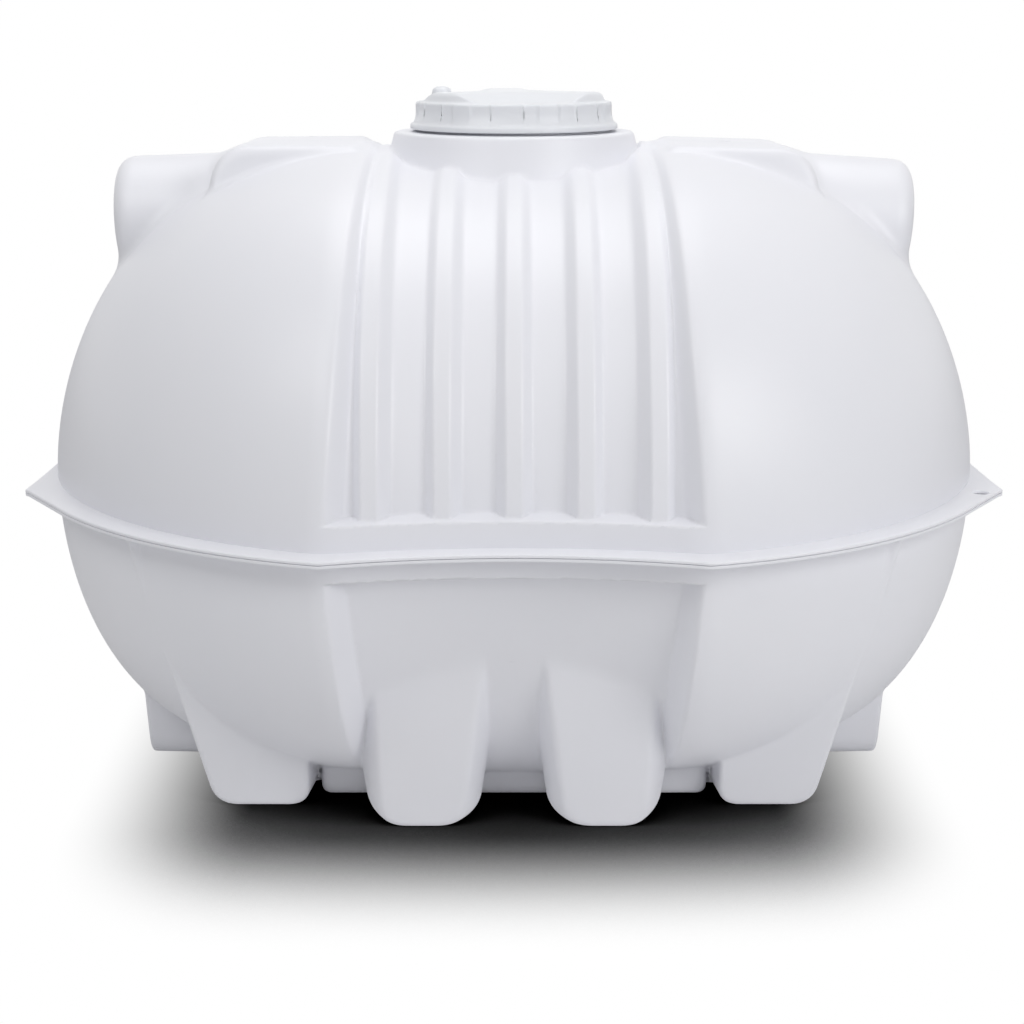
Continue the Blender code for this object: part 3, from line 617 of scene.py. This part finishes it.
@dataclass(frozen=True)
class Settler:
    """Gives a rough mesh even faces and settles its points on a mould's surface."""

    surface: Field
    probe: float = 0.0004
    longest_step: float = 0.020
    least_steepness: float = 0.05
    hold: float = 0.05
    longest_pull: float = 0.5
    cast_from: float = 0.05
    cast_steps: int = 90
    loosening: int = 3
    passes: int = 4
    crisp_passes: int = 2

    def slope(self, points: Array) -> Array:
        """Gradient of the distance at each point, by central differences."""
        columns = []
        for axis in range(3):
            shift = np.zeros(3)
            shift[axis] = self.probe
            columns.append(self.surface(points + shift) - self.surface(points - shift))
        return np.stack(columns, axis=1) / (2.0 * self.probe)

    def settle(self, mesh: Mesh, passes: int) -> None:
        """Moves the mesh's points along the gradient until they lie on the surface."""
        points = self.points_of(mesh)
        for _ in range(passes):
            slope = self.slope(points)
            steep = np.maximum((slope**2).sum(axis=1, keepdims=True), self.least_steepness)
            points -= shortened(slope * (self.surface(points)[:, None] / steep), self.longest_step)
        self.move_to(mesh, points)

    def sharpen(self, mesh: Mesh, size: float) -> None:
        """Draws points near a crease onto it: each goes where its neighbours' tangent planes meet."""
        points = self.points_of(mesh)
        normals = unit_rows(self.slope(points))
        ends = np.empty(len(mesh.edges) * 2, np.int32)
        mesh.edges.foreach_get("vertices", ends)
        ends = ends.reshape(-1, 2)
        to = np.concatenate([ends[:, 0], ends[:, 1]])
        other = np.concatenate([ends[:, 1], ends[:, 0]])
        planes = normals[:, :, None] * normals[:, None, :]
        planes[:] += self.hold * np.eye(3)
        level = np.zeros_like(points)
        near = normals[other]
        reach = (near * (points[other] - points[to])).sum(axis=1)
        for row in range(3):
            level[:, row] = np.bincount(to, near[:, row] * reach, len(points))
            for column in range(3):
                planes[:, row, column] += np.bincount(to, near[:, row] * near[:, column], len(points))
        move = np.linalg.solve(planes, level[:, :, None])[:, :, 0]
        points += shortened(move, self.longest_pull * size)
        self.move_to(mesh, points)

    def cast(self, bm: BMesh, centre: Vector, reach: float) -> None:
        """Pushes a sphere's points out along their rays, to the last crossing of the surface."""
        rays = np.array([vert.co.normalized() for vert in bm.verts])
        last = np.full(len(rays), self.cast_from)
        for length in np.linspace(self.cast_from, reach, self.cast_steps):
            inside = self.surface(np.array(centre) + rays * length) < 0.0
            last[inside] = length
        for vert, ray, length in zip(bm.verts, rays, last):
            vert.co = centre + Vector(ray * length)

    def reface(self, mesh: Mesh, size: float, crisp: bool = False) -> Mesh:
        """Returns a copy of the mesh with faces of one size, loosened and settled again."""
        holder = bpy.data.objects.new("holder", mesh)
        bpy.context.scene.collection.objects.link(holder)
        remesh = holder.modifiers.new("even_faces", "REMESH")
        remesh.mode = "VOXEL"
        remesh.voxel_size = size
        smooth = holder.modifiers.new("loosen", "SMOOTH")
        smooth.iterations = self.loosening
        graph = bpy.context.evaluated_depsgraph_get()
        even = bpy.data.meshes.new_from_object(holder.evaluated_get(graph))
        bpy.data.objects.remove(holder)
        self.settle(even, self.passes)
        if crisp:
            self.sharpen(even, size)
            self.settle(even, self.crisp_passes)
        return even

    def shade(self, mesh: Mesh) -> None:
        """Shades the mesh smooth, with the mould's own normals at its points."""
        normals = unit_rows(self.slope(self.points_of(mesh)))
        mesh.shade_smooth()
        mesh.normals_split_custom_set_from_vertices(normals.tolist())

    @staticmethod
    def points_of(mesh: Mesh) -> Array:
        """The mesh's points as an array of rows."""
        points = np.empty(len(mesh.vertices) * 3, np.float32)
        mesh.vertices.foreach_get("co", points)
        return points.reshape(-1, 3).astype(np.float64)

    @staticmethod
    def move_to(mesh: Mesh, points: Array) -> None:
        """Moves the mesh's points to those of an array of rows."""
        mesh.vertices.foreach_set("co", points.astype(np.float32).ravel())
        mesh.update()


def cut_away(bm: BMesh, at: tuple, facing: tuple) -> None:
    """Removes what lies beyond a plane and closes the cut.

    Args:
        bm: The mesh to cut.
        at: A point on the plane.
        facing: The plane's normal, towards what is removed.
    """
    bmesh.ops.bisect_plane(
        bm,
        geom=bm.verts[:] + bm.edges[:] + bm.faces[:],
        plane_co=at,
        plane_no=facing,
        clear_outer=True,
    )
    bmesh.ops.holes_fill(bm, edges=[edge for edge in bm.edges if edge.is_boundary], sides=0)


def place(mesh: Mesh, name: str, body: Body, slot: Slot, material: Material, *nodes: str) -> None:
    """Puts a finished mesh into the scene as a piece of the tank.

    Args:
        mesh: The mesh, in metres and in place.
        name: The piece's name.
        body: The rigid body that it rides on.
        slot: The record's material slot; not used.
        material: Its finish.
        nodes: The CAD nodes that it stands for.
    """
    mesh.name = name
    mesh.materials.clear()
    mesh.materials.append(material)
    piece = bpy.data.objects.new(name, mesh)
    bpy.context.scene.collection.objects.link(piece)
    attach(piece, body.value)
    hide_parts(*nodes)
    LOG.info("%s: %d faces, on %s", name, len(mesh.polygons), body.value)


@dataclass(frozen=True)
class MouldedPlastic:
    """A thermoplastic part as it leaves its mould.

    The tank's polyethylene and the lid's polypropylene are both slightly waxy. To the eye that is an even
    body colour with a broad, soft sheen, which a faint orange peel from the mould breaks up.
    """

    name: str
    colour: str
    cloud: str
    scuff: str
    roughness: float
    peel_mm: float
    peel_depth_mm: float
    cloud_mm: float
    scuff_amount: float
    scuffs_per_metre: tuple[float, float, float] = (14.0, 14.0, 120.0)
    scuff_turn: tuple[float, float, float] = (0.3, 0.5, 0.0)
    scuff_limits: tuple[float, float] = (0.73, 0.79)
    scuff_detail: tuple[float, float] = (4.0, 0.65)
    gloss_limits: tuple[float, float] = (0.3, 0.7)
    gloss_spread: tuple[float, float] = (-0.03, 0.04)
    peel_strength: float = 0.25
    ior: float = 1.52

    def material(self) -> Material:
        """Builds the finish as a material."""
        made = bpy.data.materials.new(self.name)
        made.use_nodes = True
        tree = made.node_tree
        shader = tree.nodes["Principled BSDF"]
        at = add_node(tree, "ShaderNodeTexCoord", {}).outputs["Object"]
        # Clouds of uneven wall keep the large white faces from looking like paper
        clouds = add_noise(tree, at, 1000.0 / self.cloud_mm, 3.0)
        tint = add_mix(tree, clouds, linear(self.colour), linear(self.cloud))
        # A few long, pale grey scuffs from handling and transport
        stretch = {"Vector": at, "Scale": self.scuffs_per_metre, "Rotation": self.scuff_turn}
        stretched = add_node(tree, "ShaderNodeMapping", stretch).outputs["Vector"]
        low, high = self.scuff_limits
        limits = {"From Min": low, "From Max": high, "To Min": 0.0, "To Max": self.scuff_amount}
        marks = add_noise(tree, stretched, 1.0, *self.scuff_detail)
        scuffs = add_node(tree, "ShaderNodeMapRange", {"Value": marks, **limits}).outputs["Result"]
        tree.links.new(add_mix(tree, scuffs, tint, linear(self.scuff)), shader.inputs["Base Color"])
        # The sheen is a little duller on the clouds, so highlights are never quite even
        low, high = self.gloss_limits
        smoother, rougher = (self.roughness + spread for spread in self.gloss_spread)
        limits = {"From Min": low, "From Max": high, "To Min": smoother, "To Max": rougher}
        gloss = add_node(tree, "ShaderNodeMapRange", {"Value": clouds, **limits}).outputs["Result"]
        tree.links.new(gloss, shader.inputs["Roughness"])
        # Orange peel from the mould: it softens reflections without showing as relief
        peel = add_noise(tree, at, 1000.0 / self.peel_mm, 2.0)
        depth = {"Height": peel, "Strength": self.peel_strength, "Distance": self.peel_depth_mm / 1000.0}
        bump = add_node(tree, "ShaderNodeBump", depth)
        tree.links.new(bump.outputs["Normal"], shader.inputs["Normal"])
        shader.inputs["IOR"].default_value = self.ior
        return made


@dataclass(frozen=True)
class SealRubber:
    """Moulded black EPDM: matt and very dark grey, so the gap under the lid reads as a dark line."""

    colour: str = "#1b1b1c"
    roughness: float = 0.75
    grain_mm: float = 2.0
    grain_depth_mm: float = 0.2

    def material(self) -> Material:
        """Builds the rubber as a material."""
        made = bpy.data.materials.new("seal_epdm")
        made.use_nodes = True
        tree = made.node_tree
        shader = tree.nodes["Principled BSDF"]
        shader.inputs["Base Color"].default_value = linear(self.colour)
        shader.inputs["Roughness"].default_value = self.roughness
        at = add_node(tree, "ShaderNodeTexCoord", {}).outputs["Object"]
        # A fine grain takes the shine off the rubber
        grain = add_noise(tree, at, 1000.0 / self.grain_mm, 2.0)
        bump = add_node(tree, "ShaderNodeBump", {"Height": grain, "Distance": self.grain_depth_mm / 1000.0})
        tree.links.new(bump.outputs["Normal"], shader.inputs["Normal"])
        return made


@dataclass(frozen=True)
class Finishes:
    """The tank's materials."""

    shell: Material
    lid: Material
    seal: Material

    @classmethod
    def mixed(cls) -> "Finishes":
        """Builds every finish of the tank."""
        # The tank's body: a cool white, soft and waxy, with wide highlights on the domes
        shell = MouldedPlastic(
            name="polyethylene_rotomoulded",
            colour="#eeeef3",
            cloud="#e9eaf0",
            scuff="#c4c4cb",
            roughness=0.40,
            peel_mm=5.0,
            peel_depth_mm=0.25,
            cloud_mm=420.0,
            scuff_amount=0.25,
        )
        # The lid: a shade greyer and glossier than the body, so that it stands out as a part of its own
        lid = MouldedPlastic(
            name="polypropylene_injection_moulded",
            colour="#e7e9ed",
            cloud="#e3e5ea",
            scuff="#c9cace",
            roughness=0.34,
            peel_mm=3.0,
            peel_depth_mm=0.10,
            cloud_mm=300.0,
            scuff_amount=0.10,
        )
        return cls(shell.material(), lid.material(), SealRubber().material())


@dataclass
class Moulding:
    """One half of the tank: settled on its mould as one closed skin, then cut into pieces.

    The rim is the height of its open edge, which the flange hides. The way out is -1 where the half stands on
    its rim and 1 where it hangs under it.
    """

    mould: UpperMould | LowerMould
    rim: float
    way_out: float
    cut_at: float
    spare: float = 0.020
    cast_detail: int = 7
    cast_reach: float = 1.30
    rough_size: float = 0.012
    face_size: float = 0.0066

    def closed(self, points: Array) -> Array:
        """Distance to the mould, closed off a little beyond the rim."""
        beyond = self.way_out * (points[:, 2] - self.rim) - self.spare
        return np.maximum(self.mould.distance(points), beyond)

    def skin(self) -> Mesh:
        """Makes the half's whole skin."""
        settler = Settler(self.closed)
        bm = bmesh.new()
        bmesh.ops.create_icosphere(bm, subdivisions=self.cast_detail, radius=1.0)
        settler.cast(bm, Vector((0.0, 0.0, self.rim)), self.cast_reach)
        rough = settler.reface(as_mesh(bm, "rough"), self.rough_size)
        return settler.reface(rough, self.face_size, crisp=True)

    def end_cut(self, side: Side) -> Points:
        """The cut that leaves one end: where its plane crosses the X axis, and the side that goes."""
        return ((side.value * self.cut_at, -side.value),)

    def middle_cuts(self) -> Points:
        """The two cuts that leave the middle."""
        return ((self.cut_at, 1.0), (-self.cut_at, -1.0))

    def add(
        self, skin: Mesh, cuts: Points, name: str, finishes: Finishes, *nodes: str
    ) -> None:
        """Cuts a piece from the skin and puts it into the scene.

        Args:
            skin: The half's whole skin.
            cuts: Where each cut's plane crosses the X axis, and the side of it that goes.
            name: The piece's name.
            finishes: The tank's materials.
            nodes: The CAD nodes that it stands for.
        """
        bm = bmesh.new()
        bm.from_mesh(skin)
        cut_away(bm, (0.0, 0.0, self.rim), (0.0, 0.0, self.way_out))
        for at, facing in cuts:
            cut_away(bm, (at, 0.0, 0.0), (facing, 0.0, 0.0))
        for vert in bm.verts:
            vert.co.z = max(vert.co.z, 0.0)
        mesh = as_mesh(bm, name)
        Settler(self.mould.distance).shade(mesh)
        place(mesh, name, Body.TANK, Slot.SHELL, finishes.shell, *nodes)


@dataclass
class UpperHalf(Moulding):
    """The upper moulding: two domed ends with pads and bosses, and the ribbed waist with the collar."""

    way_out: float = -1.0
    cut_at: float = 0.346

    def build(self, finishes: Finishes) -> None:
        """Builds the three pieces of the upper half."""
        skin = self.skin()
        for side in Side:
            word = side.name.lower()
            nodes = [f"upper_dome_{word}", f"pad_{word}", f"pipe_boss_{word}"]
            self.add(skin, self.end_cut(side), f"upper_end_{word}", finishes, *nodes)
        self.add(skin, self.middle_cuts(), "ribbed_saddle", finishes, "upper_waist", "manhole_collar")


@dataclass
class LowerHalf(Moulding):
    """The lower moulding: two bowls with their corner and end feet, and the waist over the tray."""

    way_out: float = 1.0
    cut_at: float = 0.4335

    def build(self, finishes: Finishes) -> None:
        """Builds the three pieces of the lower half."""
        skin = self.skin()
        for side in Side:
            word = side.name.lower()
            feet = [f"{kind}_foot_{way}_{word}" for kind in ("corner", "end") for way in ("front", "back")]
            self.add(skin, self.end_cut(side), f"lower_end_{word}", finishes, f"lower_bowl_{word}", *feet)
        feet = [f"middle_foot_{way}_{word}" for way in ("front", "back") for word in ("left", "right")]
        self.add(skin, self.middle_cuts(), "belly_saddle", finishes, "lower_waist", "base_tray", *feet)


@dataclass
class Flange:
    """The flange round the middle: two plates face to face, with four ears and a hole in one."""

    bottom: float
    top: float
    centre: float = 0.100
    radius: float = 1.050
    waist: float = 0.952
    waist_half: float = 0.385
    ear_reach: float = 1.1047
    ear_span: float = 0.390
    ear_round: float = 0.015
    ear_turns: tuple[float, float] = (-10.0, 65.0)
    end_hollow: float = 0.012
    hole: tuple[float, float] = (1.046, -0.410)
    hole_radius: float = 0.018
    hole_steps: int = 48
    parting: float = 0.0006
    outer_rounding: tuple[float, float] = (0.0034, 0.0022)
    parting_rounding: float = 0.0010
    end_steps: int = 16
    ear_steps: int = 8
    arc_steps: int = 48
    waist_steps: int = 20

    def quarter(self) -> list[tuple[float, float]]:
        """Points of the outline from the middle of an end, over the ear, to the middle of the front."""
        tip = Vector((self.ear_reach - self.centre, self.ear_span))
        leave = math.atan2(tip.y, tip.x) + math.acos(self.radius / tip.length)
        corner_y = math.sqrt(self.radius**2 - (self.waist_half - self.centre) ** 2)
        corner = math.atan2(corner_y, self.waist_half - self.centre)
        points = []
        for index in range(self.end_steps):
            share = index / self.end_steps
            points.append((self.ear_reach - self.end_hollow * (1.0 - share**2), self.ear_span * share))
        first, last = self.ear_turns
        for index in range(self.ear_steps + 1):
            turn = math.radians(first + (last - first) * index / self.ear_steps)
            x = self.ear_reach - self.ear_round * (1.0 - math.cos(turn))
            points.append((x, self.ear_span - self.ear_round * (1.0 - math.sin(turn))))
        for index in range(self.arc_steps + 1):
            angle = leave + (corner - leave) * index / self.arc_steps
            points.append((self.centre + self.radius * math.cos(angle), self.radius * math.sin(angle)))
        for index in range(1, self.waist_steps + 1):
            x = self.waist_half * (1.0 - index / self.waist_steps)
            dip = (corner_y - self.waist) * (1.0 - (x / self.waist_half) ** 2)
            points.append((x, corner_y - dip))
        return points

    def outline(self) -> list[tuple[float, float]]:
        """Corner points of the flange, one quarter mirrored four times."""
        quarter = self.quarter()
        half = quarter + [(-x, y) for x, y in quarter[-2::-1]]
        return half + [(x, -y) for x, y in half[-2:0:-1]]

    def plate(
        self, name: str, bottom: float, top: float, round_top: float, round_bottom: float
    ) -> Mesh:
        """Makes one plate with rounded edges.

        Args:
            name: Name of the mesh.
            bottom: Height of its underside.
            top: Height of its upper face.
            round_top: Rounding of the upper edge.
            round_bottom: Rounding of the lower edge.

        Returns:
            The plate's mesh.
        """
        bm = bmesh.new()
        rim = [bm.verts.new((x, y, bottom)) for x, y in self.outline()]
        edges = [bm.edges.new(pair) for pair in zip(rim, rim[1:] + rim[:1])]
        ring = bmesh.ops.create_circle(bm, segments=self.hole_steps, radius=self.hole_radius)["verts"]
        bmesh.ops.translate(bm, verts=ring, vec=(*self.hole, bottom))
        edges += list({edge for vert in ring for edge in vert.link_edges})
        bmesh.ops.triangle_fill(bm, edges=edges, use_beauty=True)
        raised = bmesh.ops.extrude_face_region(bm, geom=bm.faces[:])["geom"]
        upper = [item for item in raised if isinstance(item, BMVert)]
        bmesh.ops.translate(bm, verts=upper, vec=(0.0, 0.0, top - bottom))
        bmesh.ops.recalc_face_normals(bm, faces=bm.faces)
        for height, rounding in ((top, round_top), (bottom, round_bottom)):
            round_edges(bm, self.rims_at(bm, height), rounding)
        mesh = as_mesh(bm, name)
        shade_edged(mesh)
        return mesh

    @staticmethod
    def rims_at(bm: BMesh, height: float, slack: float = 1e-5) -> list[BMEdge]:
        """Edges at a height that a side wall ends on."""
        return [
            edge
            for edge in bm.edges
            if all(abs(vert.co.z - height) < slack for vert in edge.verts)
            and any(abs(face.normal.z) < 0.5 for face in edge.link_faces)
        ]

    def build(self, finishes: Finishes) -> None:
        """Builds the flange's two plates."""
        middle = (self.bottom + self.top) / 2
        above, below = self.outer_rounding
        inner = self.parting_rounding
        upper = self.plate("flange_upper", middle + self.parting, self.top, above, inner)
        lower = self.plate("flange_lower", self.bottom, middle - self.parting, inner, below)
        place(upper, "flange_upper", Body.TANK, Slot.SHELL, finishes.shell, "upper_flange")
        place(lower, "flange_lower", Body.TANK, Slot.SHELL, finishes.shell, "lower_flange")


@dataclass(frozen=True)
class TurnedPart:
    """A small turned part: its profile as (radius, height) points, and the rounding of its edges."""

    name: str
    profile: Points
    rounding: float


def spin(bm: BMesh, profile: Points, steps: int) -> None:
    """Turns a profile about the Z axis into a closed body.

    Args:
        bm: The mesh that takes the body.
        profile: Points as radius and height, from the axis round to the axis.
        steps: Steps in the full turn.
    """
    verts = [bm.verts.new((radius, 0.0, height)) for radius, height in profile]
    edges = [bm.edges.new(pair) for pair in zip(verts, verts[1:])]
    full = {"axis": (0.0, 0.0, 1.0), "angle": 2 * math.pi, "steps": steps, "use_merge": True}
    bmesh.ops.spin(bm, geom=verts + edges, cent=(0.0, 0.0, 0.0), **full)
    bmesh.ops.remove_doubles(bm, verts=bm.verts, dist=MERGE_DISTANCE)
    bmesh.ops.recalc_face_normals(bm, faces=bm.faces)


@dataclass
class Lid:
    """The screwed lid with its small vent, and the seal below it."""

    mould: LidMould
    face_size: float = 0.0034
    longest_step: float = 0.008
    steps: int = 96
    vent_steps: int = 48
    vent_turn: float = 150.0
    vent_reach: float = 0.199
    vent_sharp: float = 25.0

    def build(self, finishes: Finishes) -> None:
        """Builds the lid and the vent, and dresses the seal."""
        settler = Settler(self.mould.distance, longest_step=self.longest_step)
        bm = bmesh.new()
        spin(bm, self.rough_profile(), self.steps)
        mesh = settler.reface(as_mesh(bm, "lid_rough"), self.face_size)
        settler.shade(mesh)
        place(mesh, "screw_lid", Body.LID, Slot.LID, finishes.lid, "manhole_lid", "lid_crown")
        self.vent(finishes)
        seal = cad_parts["lid_seal"]
        seal.data.materials.clear()
        seal.data.materials.append(finishes.seal)

    def rough_profile(self) -> Points:
        """Section of the lid before it is settled, from the crown's middle round to its ceiling."""
        shape = self.mould
        return (
            (0.0, shape.crown),
            (shape.crown_radius, shape.crown),
            (shape.radius, shape.shoulder),
            (shape.rim_radius, shape.rim_top),
            (shape.rim_radius, shape.bottom),
            (shape.bore, shape.bottom),
            (shape.bore, shape.ceiling),
            (0.0, shape.ceiling),
        )

    def vent(self, finishes: Finishes) -> None:
        """Builds the vent's base with its stem, and its domed cap."""
        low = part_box("vent_stem")[0].z
        seat, high = (corner.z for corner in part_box("vent_cap"))
        washer = low + 0.005
        base = ((0.0, low), (0.0235, low), (0.0235, washer), (0.013, washer), (0.013, seat), (0.0, seat))
        hood = (
            (0.0, seat),
            (0.0225, seat),
            (0.024, seat + 0.008),
            (0.0215, high - 0.006),
            (0.012, high - 0.001),
            (0.0, high),
        )
        turn = math.radians(self.vent_turn)
        at = Vector((math.cos(turn), math.sin(turn), 0.0)) * self.vent_reach
        parts = {
            "vent_stem": TurnedPart("vent_base", base, 0.0012),
            "vent_cap": TurnedPart("vent_hood", hood, 0.0030),
        }
        for node, part in parts.items():
            bm = bmesh.new()
            spin(bm, part.profile, self.vent_steps)
            least = math.radians(self.vent_sharp)
            sharp = [edge for edge in bm.edges if edge.is_manifold and edge.calc_face_angle(0.0) > least]
            round_edges(bm, sharp, part.rounding)
            bmesh.ops.translate(bm, verts=bm.verts, vec=at)
            mesh = as_mesh(bm, part.name)
            shade_edged(mesh)
            place(mesh, part.name, Body.LID, Slot.LID, finishes.lid, node)


@dataclass(frozen=True)
class Softbox:
    """A rectangular studio lamp aimed at the tank."""

    name: str
    place_at: tuple[float, float, float]
    size: tuple[float, float]
    watts: float
    colour: str = "#ffffff"

    def light(self, aim: Vector) -> None:
        """Adds the lamp, facing the aim."""
        data = bpy.data.lights.new(self.name, "AREA")
        data.shape = "RECTANGLE"
        data.size, data.size_y = self.size
        data.energy = self.watts
        data.color = linear(self.colour)[:3]
        lamp = bpy.data.objects.new(self.name, data)
        bpy.context.scene.collection.objects.link(lamp)
        lamp.location = self.place_at
        lamp.rotation_euler = (aim - Vector(self.place_at)).to_track_quat("-Z", "Y").to_euler()


@dataclass
class Studio:
    """A white floor and backdrop, soft light and a camera at standing eye height."""

    eye: tuple[float, float, float] = (-0.0045, -4.78, 1.69)
    pitch: float = 13.8
    lens: float = 70.31
    sensor: float = 36.0
    aim: tuple[float, float, float] = (0.0, 0.0, 0.8)
    floor_radius: float = 60.0
    floor_colour: str = "#efefef"
    floor_gain: float = 1.5
    # Reach and power of the contact shadow painted into the floor's colour from ambient occlusion
    painted_shadow_reach: float = 0.68
    painted_shadow_power: float = 4.2
    # The rounded box whose edge is the painted outline where the floor's shadow fades to white
    shadow_half: tuple[float, float] = (0.54, 0.74)
    shadow_stretch: tuple[float, float] = (1.5, 1.0)
    white_from: float = 0.05
    white_to: float = 0.67
    world_strength: float = 0.34
    lamps: tuple[Softbox, ...] = (
        Softbox("key", (3.5, -3.8, 2.9), (2.4, 2.4), 84.0),
        Softbox("front", (-2.8, -3.4, 4.4), (3.0, 2.0), 64.0),
        Softbox("overhead", (0.0, 0.4, 4.8), (3.8, 2.8), 63.0),
    )

    def build(self) -> None:
        """Adds the floor, the world, the lamps and the camera."""
        self.floor()
        self.world()
        for lamp in self.lamps:
            lamp.light(Vector(self.aim))
        self.camera()

    def floor(self) -> None:
        """Adds the floor, which the camera sees as white outside the tank's shadow."""
        bm = bmesh.new()
        bmesh.ops.create_circle(bm, cap_ends=True, segments=64, radius=self.floor_radius)
        mesh = as_mesh(bm, "floor")
        mesh.materials.append(self.paper())
        floor = bpy.data.objects.new("floor", mesh)
        bpy.context.scene.collection.objects.link(floor)

    def paper(self) -> Material:
        """Matt white paper that the camera sees brighter than it is, with a painted contact shadow near the
        tank, and plain white far from the tank.
        """
        made = bpy.data.materials.new("floor_paper")
        made.use_nodes = True
        tree = made.node_tree
        tree.nodes.remove(tree.nodes["Principled BSDF"])
        camera_ray = add_node(tree, "ShaderNodeLightPath", {}).outputs["Is Camera Ray"]
        # A painted contact shadow: ambient occlusion from the tank darkens the floor's colour, soft and dark
        # close to the tank, on the floor alone
        painted_shadow_occlusion = add_node(tree, "ShaderNodeAmbientOcclusion", {"Distance": self.painted_shadow_reach}, samples=16)
        dark = {0: painted_shadow_occlusion.outputs["AO"], 1: self.painted_shadow_power}
        painted_shadow_share = add_node(tree, "ShaderNodeMath", dark, operation="POWER").outputs[0]
        gain = {0: (self.floor_gain,) * 3, "Scale": painted_shadow_share}
        seen = add_node(tree, "ShaderNodeVectorMath", gain, operation="SCALE").outputs["Vector"]
        shown = add_mix(tree, camera_ray, linear(self.floor_colour), seen)
        near = add_node(tree, "ShaderNodeBsdfDiffuse", {"Color": shown})
        far = add_node(tree, "ShaderNodeEmission", {"Color": linear("#ffffff"), "Strength": 1.0})
        # White takes over outside a rounded box about the tank, so the picture's edges stay clean; the box
        # also sets a painted outline along which the tank's shadow fades to white
        vector = add_node(tree, "ShaderNodeTexCoord", {}).outputs["Object"]
        for operation, second in (
            ("ABSOLUTE", None),
            ("SUBTRACT", (*self.shadow_half, 0.0)),
            ("MAXIMUM", (0.0, 0.0, 0.0)),
            ("MULTIPLY", (*self.shadow_stretch, 0.0)),
        ):
            sockets = {0: vector} if second is None else {0: vector, 1: second}
            vector = add_node(tree, "ShaderNodeVectorMath", sockets, operation=operation).outputs["Vector"]
        away = add_node(tree, "ShaderNodeVectorMath", {0: vector}, operation="LENGTH").outputs["Value"]
        limits = {"Value": away, "From Min": self.white_from, "From Max": self.white_to}
        faded = add_node(tree, "ShaderNodeMapRange", limits, interpolation_type="SMOOTHSTEP")
        both = {0: faded.outputs["Result"], 1: camera_ray}
        share = add_node(tree, "ShaderNodeMath", both, operation="MULTIPLY").outputs[0]
        mix = add_node(
            tree, "ShaderNodeMixShader", {0: share, 1: near.outputs["BSDF"], 2: far.outputs["Emission"]}
        )
        tree.links.new(mix.outputs["Shader"], tree.nodes["Material Output"].inputs["Surface"])
        return made

    def world(self) -> None:
        """Makes the world a soft grey light that camera and mirror rays see as white."""
        world = bpy.data.worlds.new("studio")
        bpy.context.scene.world = world
        world.use_nodes = True
        tree = world.node_tree
        shader = tree.nodes["Background"]
        shader.inputs["Color"].default_value = linear("#ffffff")
        path = add_node(tree, "ShaderNodeLightPath", {})
        rays = {0: path.outputs["Is Camera Ray"], 1: path.outputs["Is Glossy Ray"]}
        seen = add_node(tree, "ShaderNodeMath", rays, operation="MAXIMUM").outputs[0]
        limits = {"Value": seen, "To Min": self.world_strength, "To Max": 1.0}
        strength = add_node(tree, "ShaderNodeMapRange", limits).outputs["Result"]
        tree.links.new(strength, shader.inputs["Strength"])

    def camera(self) -> None:
        """Adds the camera, level and turned down towards the tank."""
        data = bpy.data.cameras.new("camera")
        data.lens = self.lens
        data.sensor_width = self.sensor
        camera = bpy.data.objects.new("camera", data)
        bpy.context.scene.collection.objects.link(camera)
        camera.location = self.eye
        camera.rotation_euler = (math.radians(90.0 - self.pitch), 0.0, 0.0)
        bpy.context.scene.camera = camera


def upper_mould(flange_top: float) -> UpperMould:
    """Upper mould standing on the flange."""
    half = DomedHalf(flange_top, 1.0, rise=0.758, roundness=3.06, flatness=1.81, narrowing=0.066)
    pads = {Side.LEFT: Pad(tilt=0.006), Side.RIGHT: Pad(tilt=0.030)}
    bosses = {Side.LEFT: Boss(reach=0.936, droop=2.0), Side.RIGHT: Boss(reach=0.940, droop=3.8)}
    return UpperMould(half, RibbedWaist(), pads, bosses, Collar())


def lower_mould(flange_bottom: float) -> LowerMould:
    """Lower mould hanging under the flange, with its three kinds of feet."""
    half = DomedHalf(
        flange_bottom, -1.0, rise=0.6467, roundness=5.10, flatness=1.90, narrowing=0.075, flattening=1.5
    )
    middle = Foot(
        ground=((0.112, 0.75), (0.285, 0.75), (0.314, 0.705), (0.323, 0.568), (0.073, 0.568), (0.079, 0.705)),
        top=((0.102, 0.798), (0.304, 0.798), (0.378, 0.745), (0.387, 0.568), (0.013, 0.568), (0.019, 0.745)),
        face=0,
    )
    corner = Foot(
        ground=((0.453, 0.627), (0.660, 0.627), (0.696, 0.377), (0.425, 0.377)),
        top=((0.440, 0.689), (0.769, 0.689), (0.785, 0.320), (0.412, 0.320)),
        face=0,
    )
    end = Foot(
        ground=((0.610, 0.090), (0.858, 0.090), (0.858, 0.320), (0.610, 0.332)),
        top=((0.610, 0.033), (0.884, 0.090), (0.884, 0.332), (0.610, 0.389)),
        face=1,
    )
    return LowerMould(half, PlainWaist(), (middle, corner, end))


def main() -> None:
    """Builds the tank and the studio."""
    logging.basicConfig(level=logging.INFO, format="%(name)s %(message)s")
    bpy.context.scene.view_settings.view_transform = "Standard"
    finishes = Finishes.mixed()
    flange_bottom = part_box("lower_flange")[0].z
    flange_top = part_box("upper_flange")[1].z
    UpperHalf(upper_mould(flange_top), flange_top - FLANGE_OVERLAP).build(finishes)
    LowerHalf(lower_mould(flange_bottom), flange_bottom + FLANGE_OVERLAP).build(finishes)
    Flange(flange_bottom, flange_top).build(finishes)
    Lid(LidMould()).build(finishes)
    Studio().build()


if __name__ == "__main__":
    main()
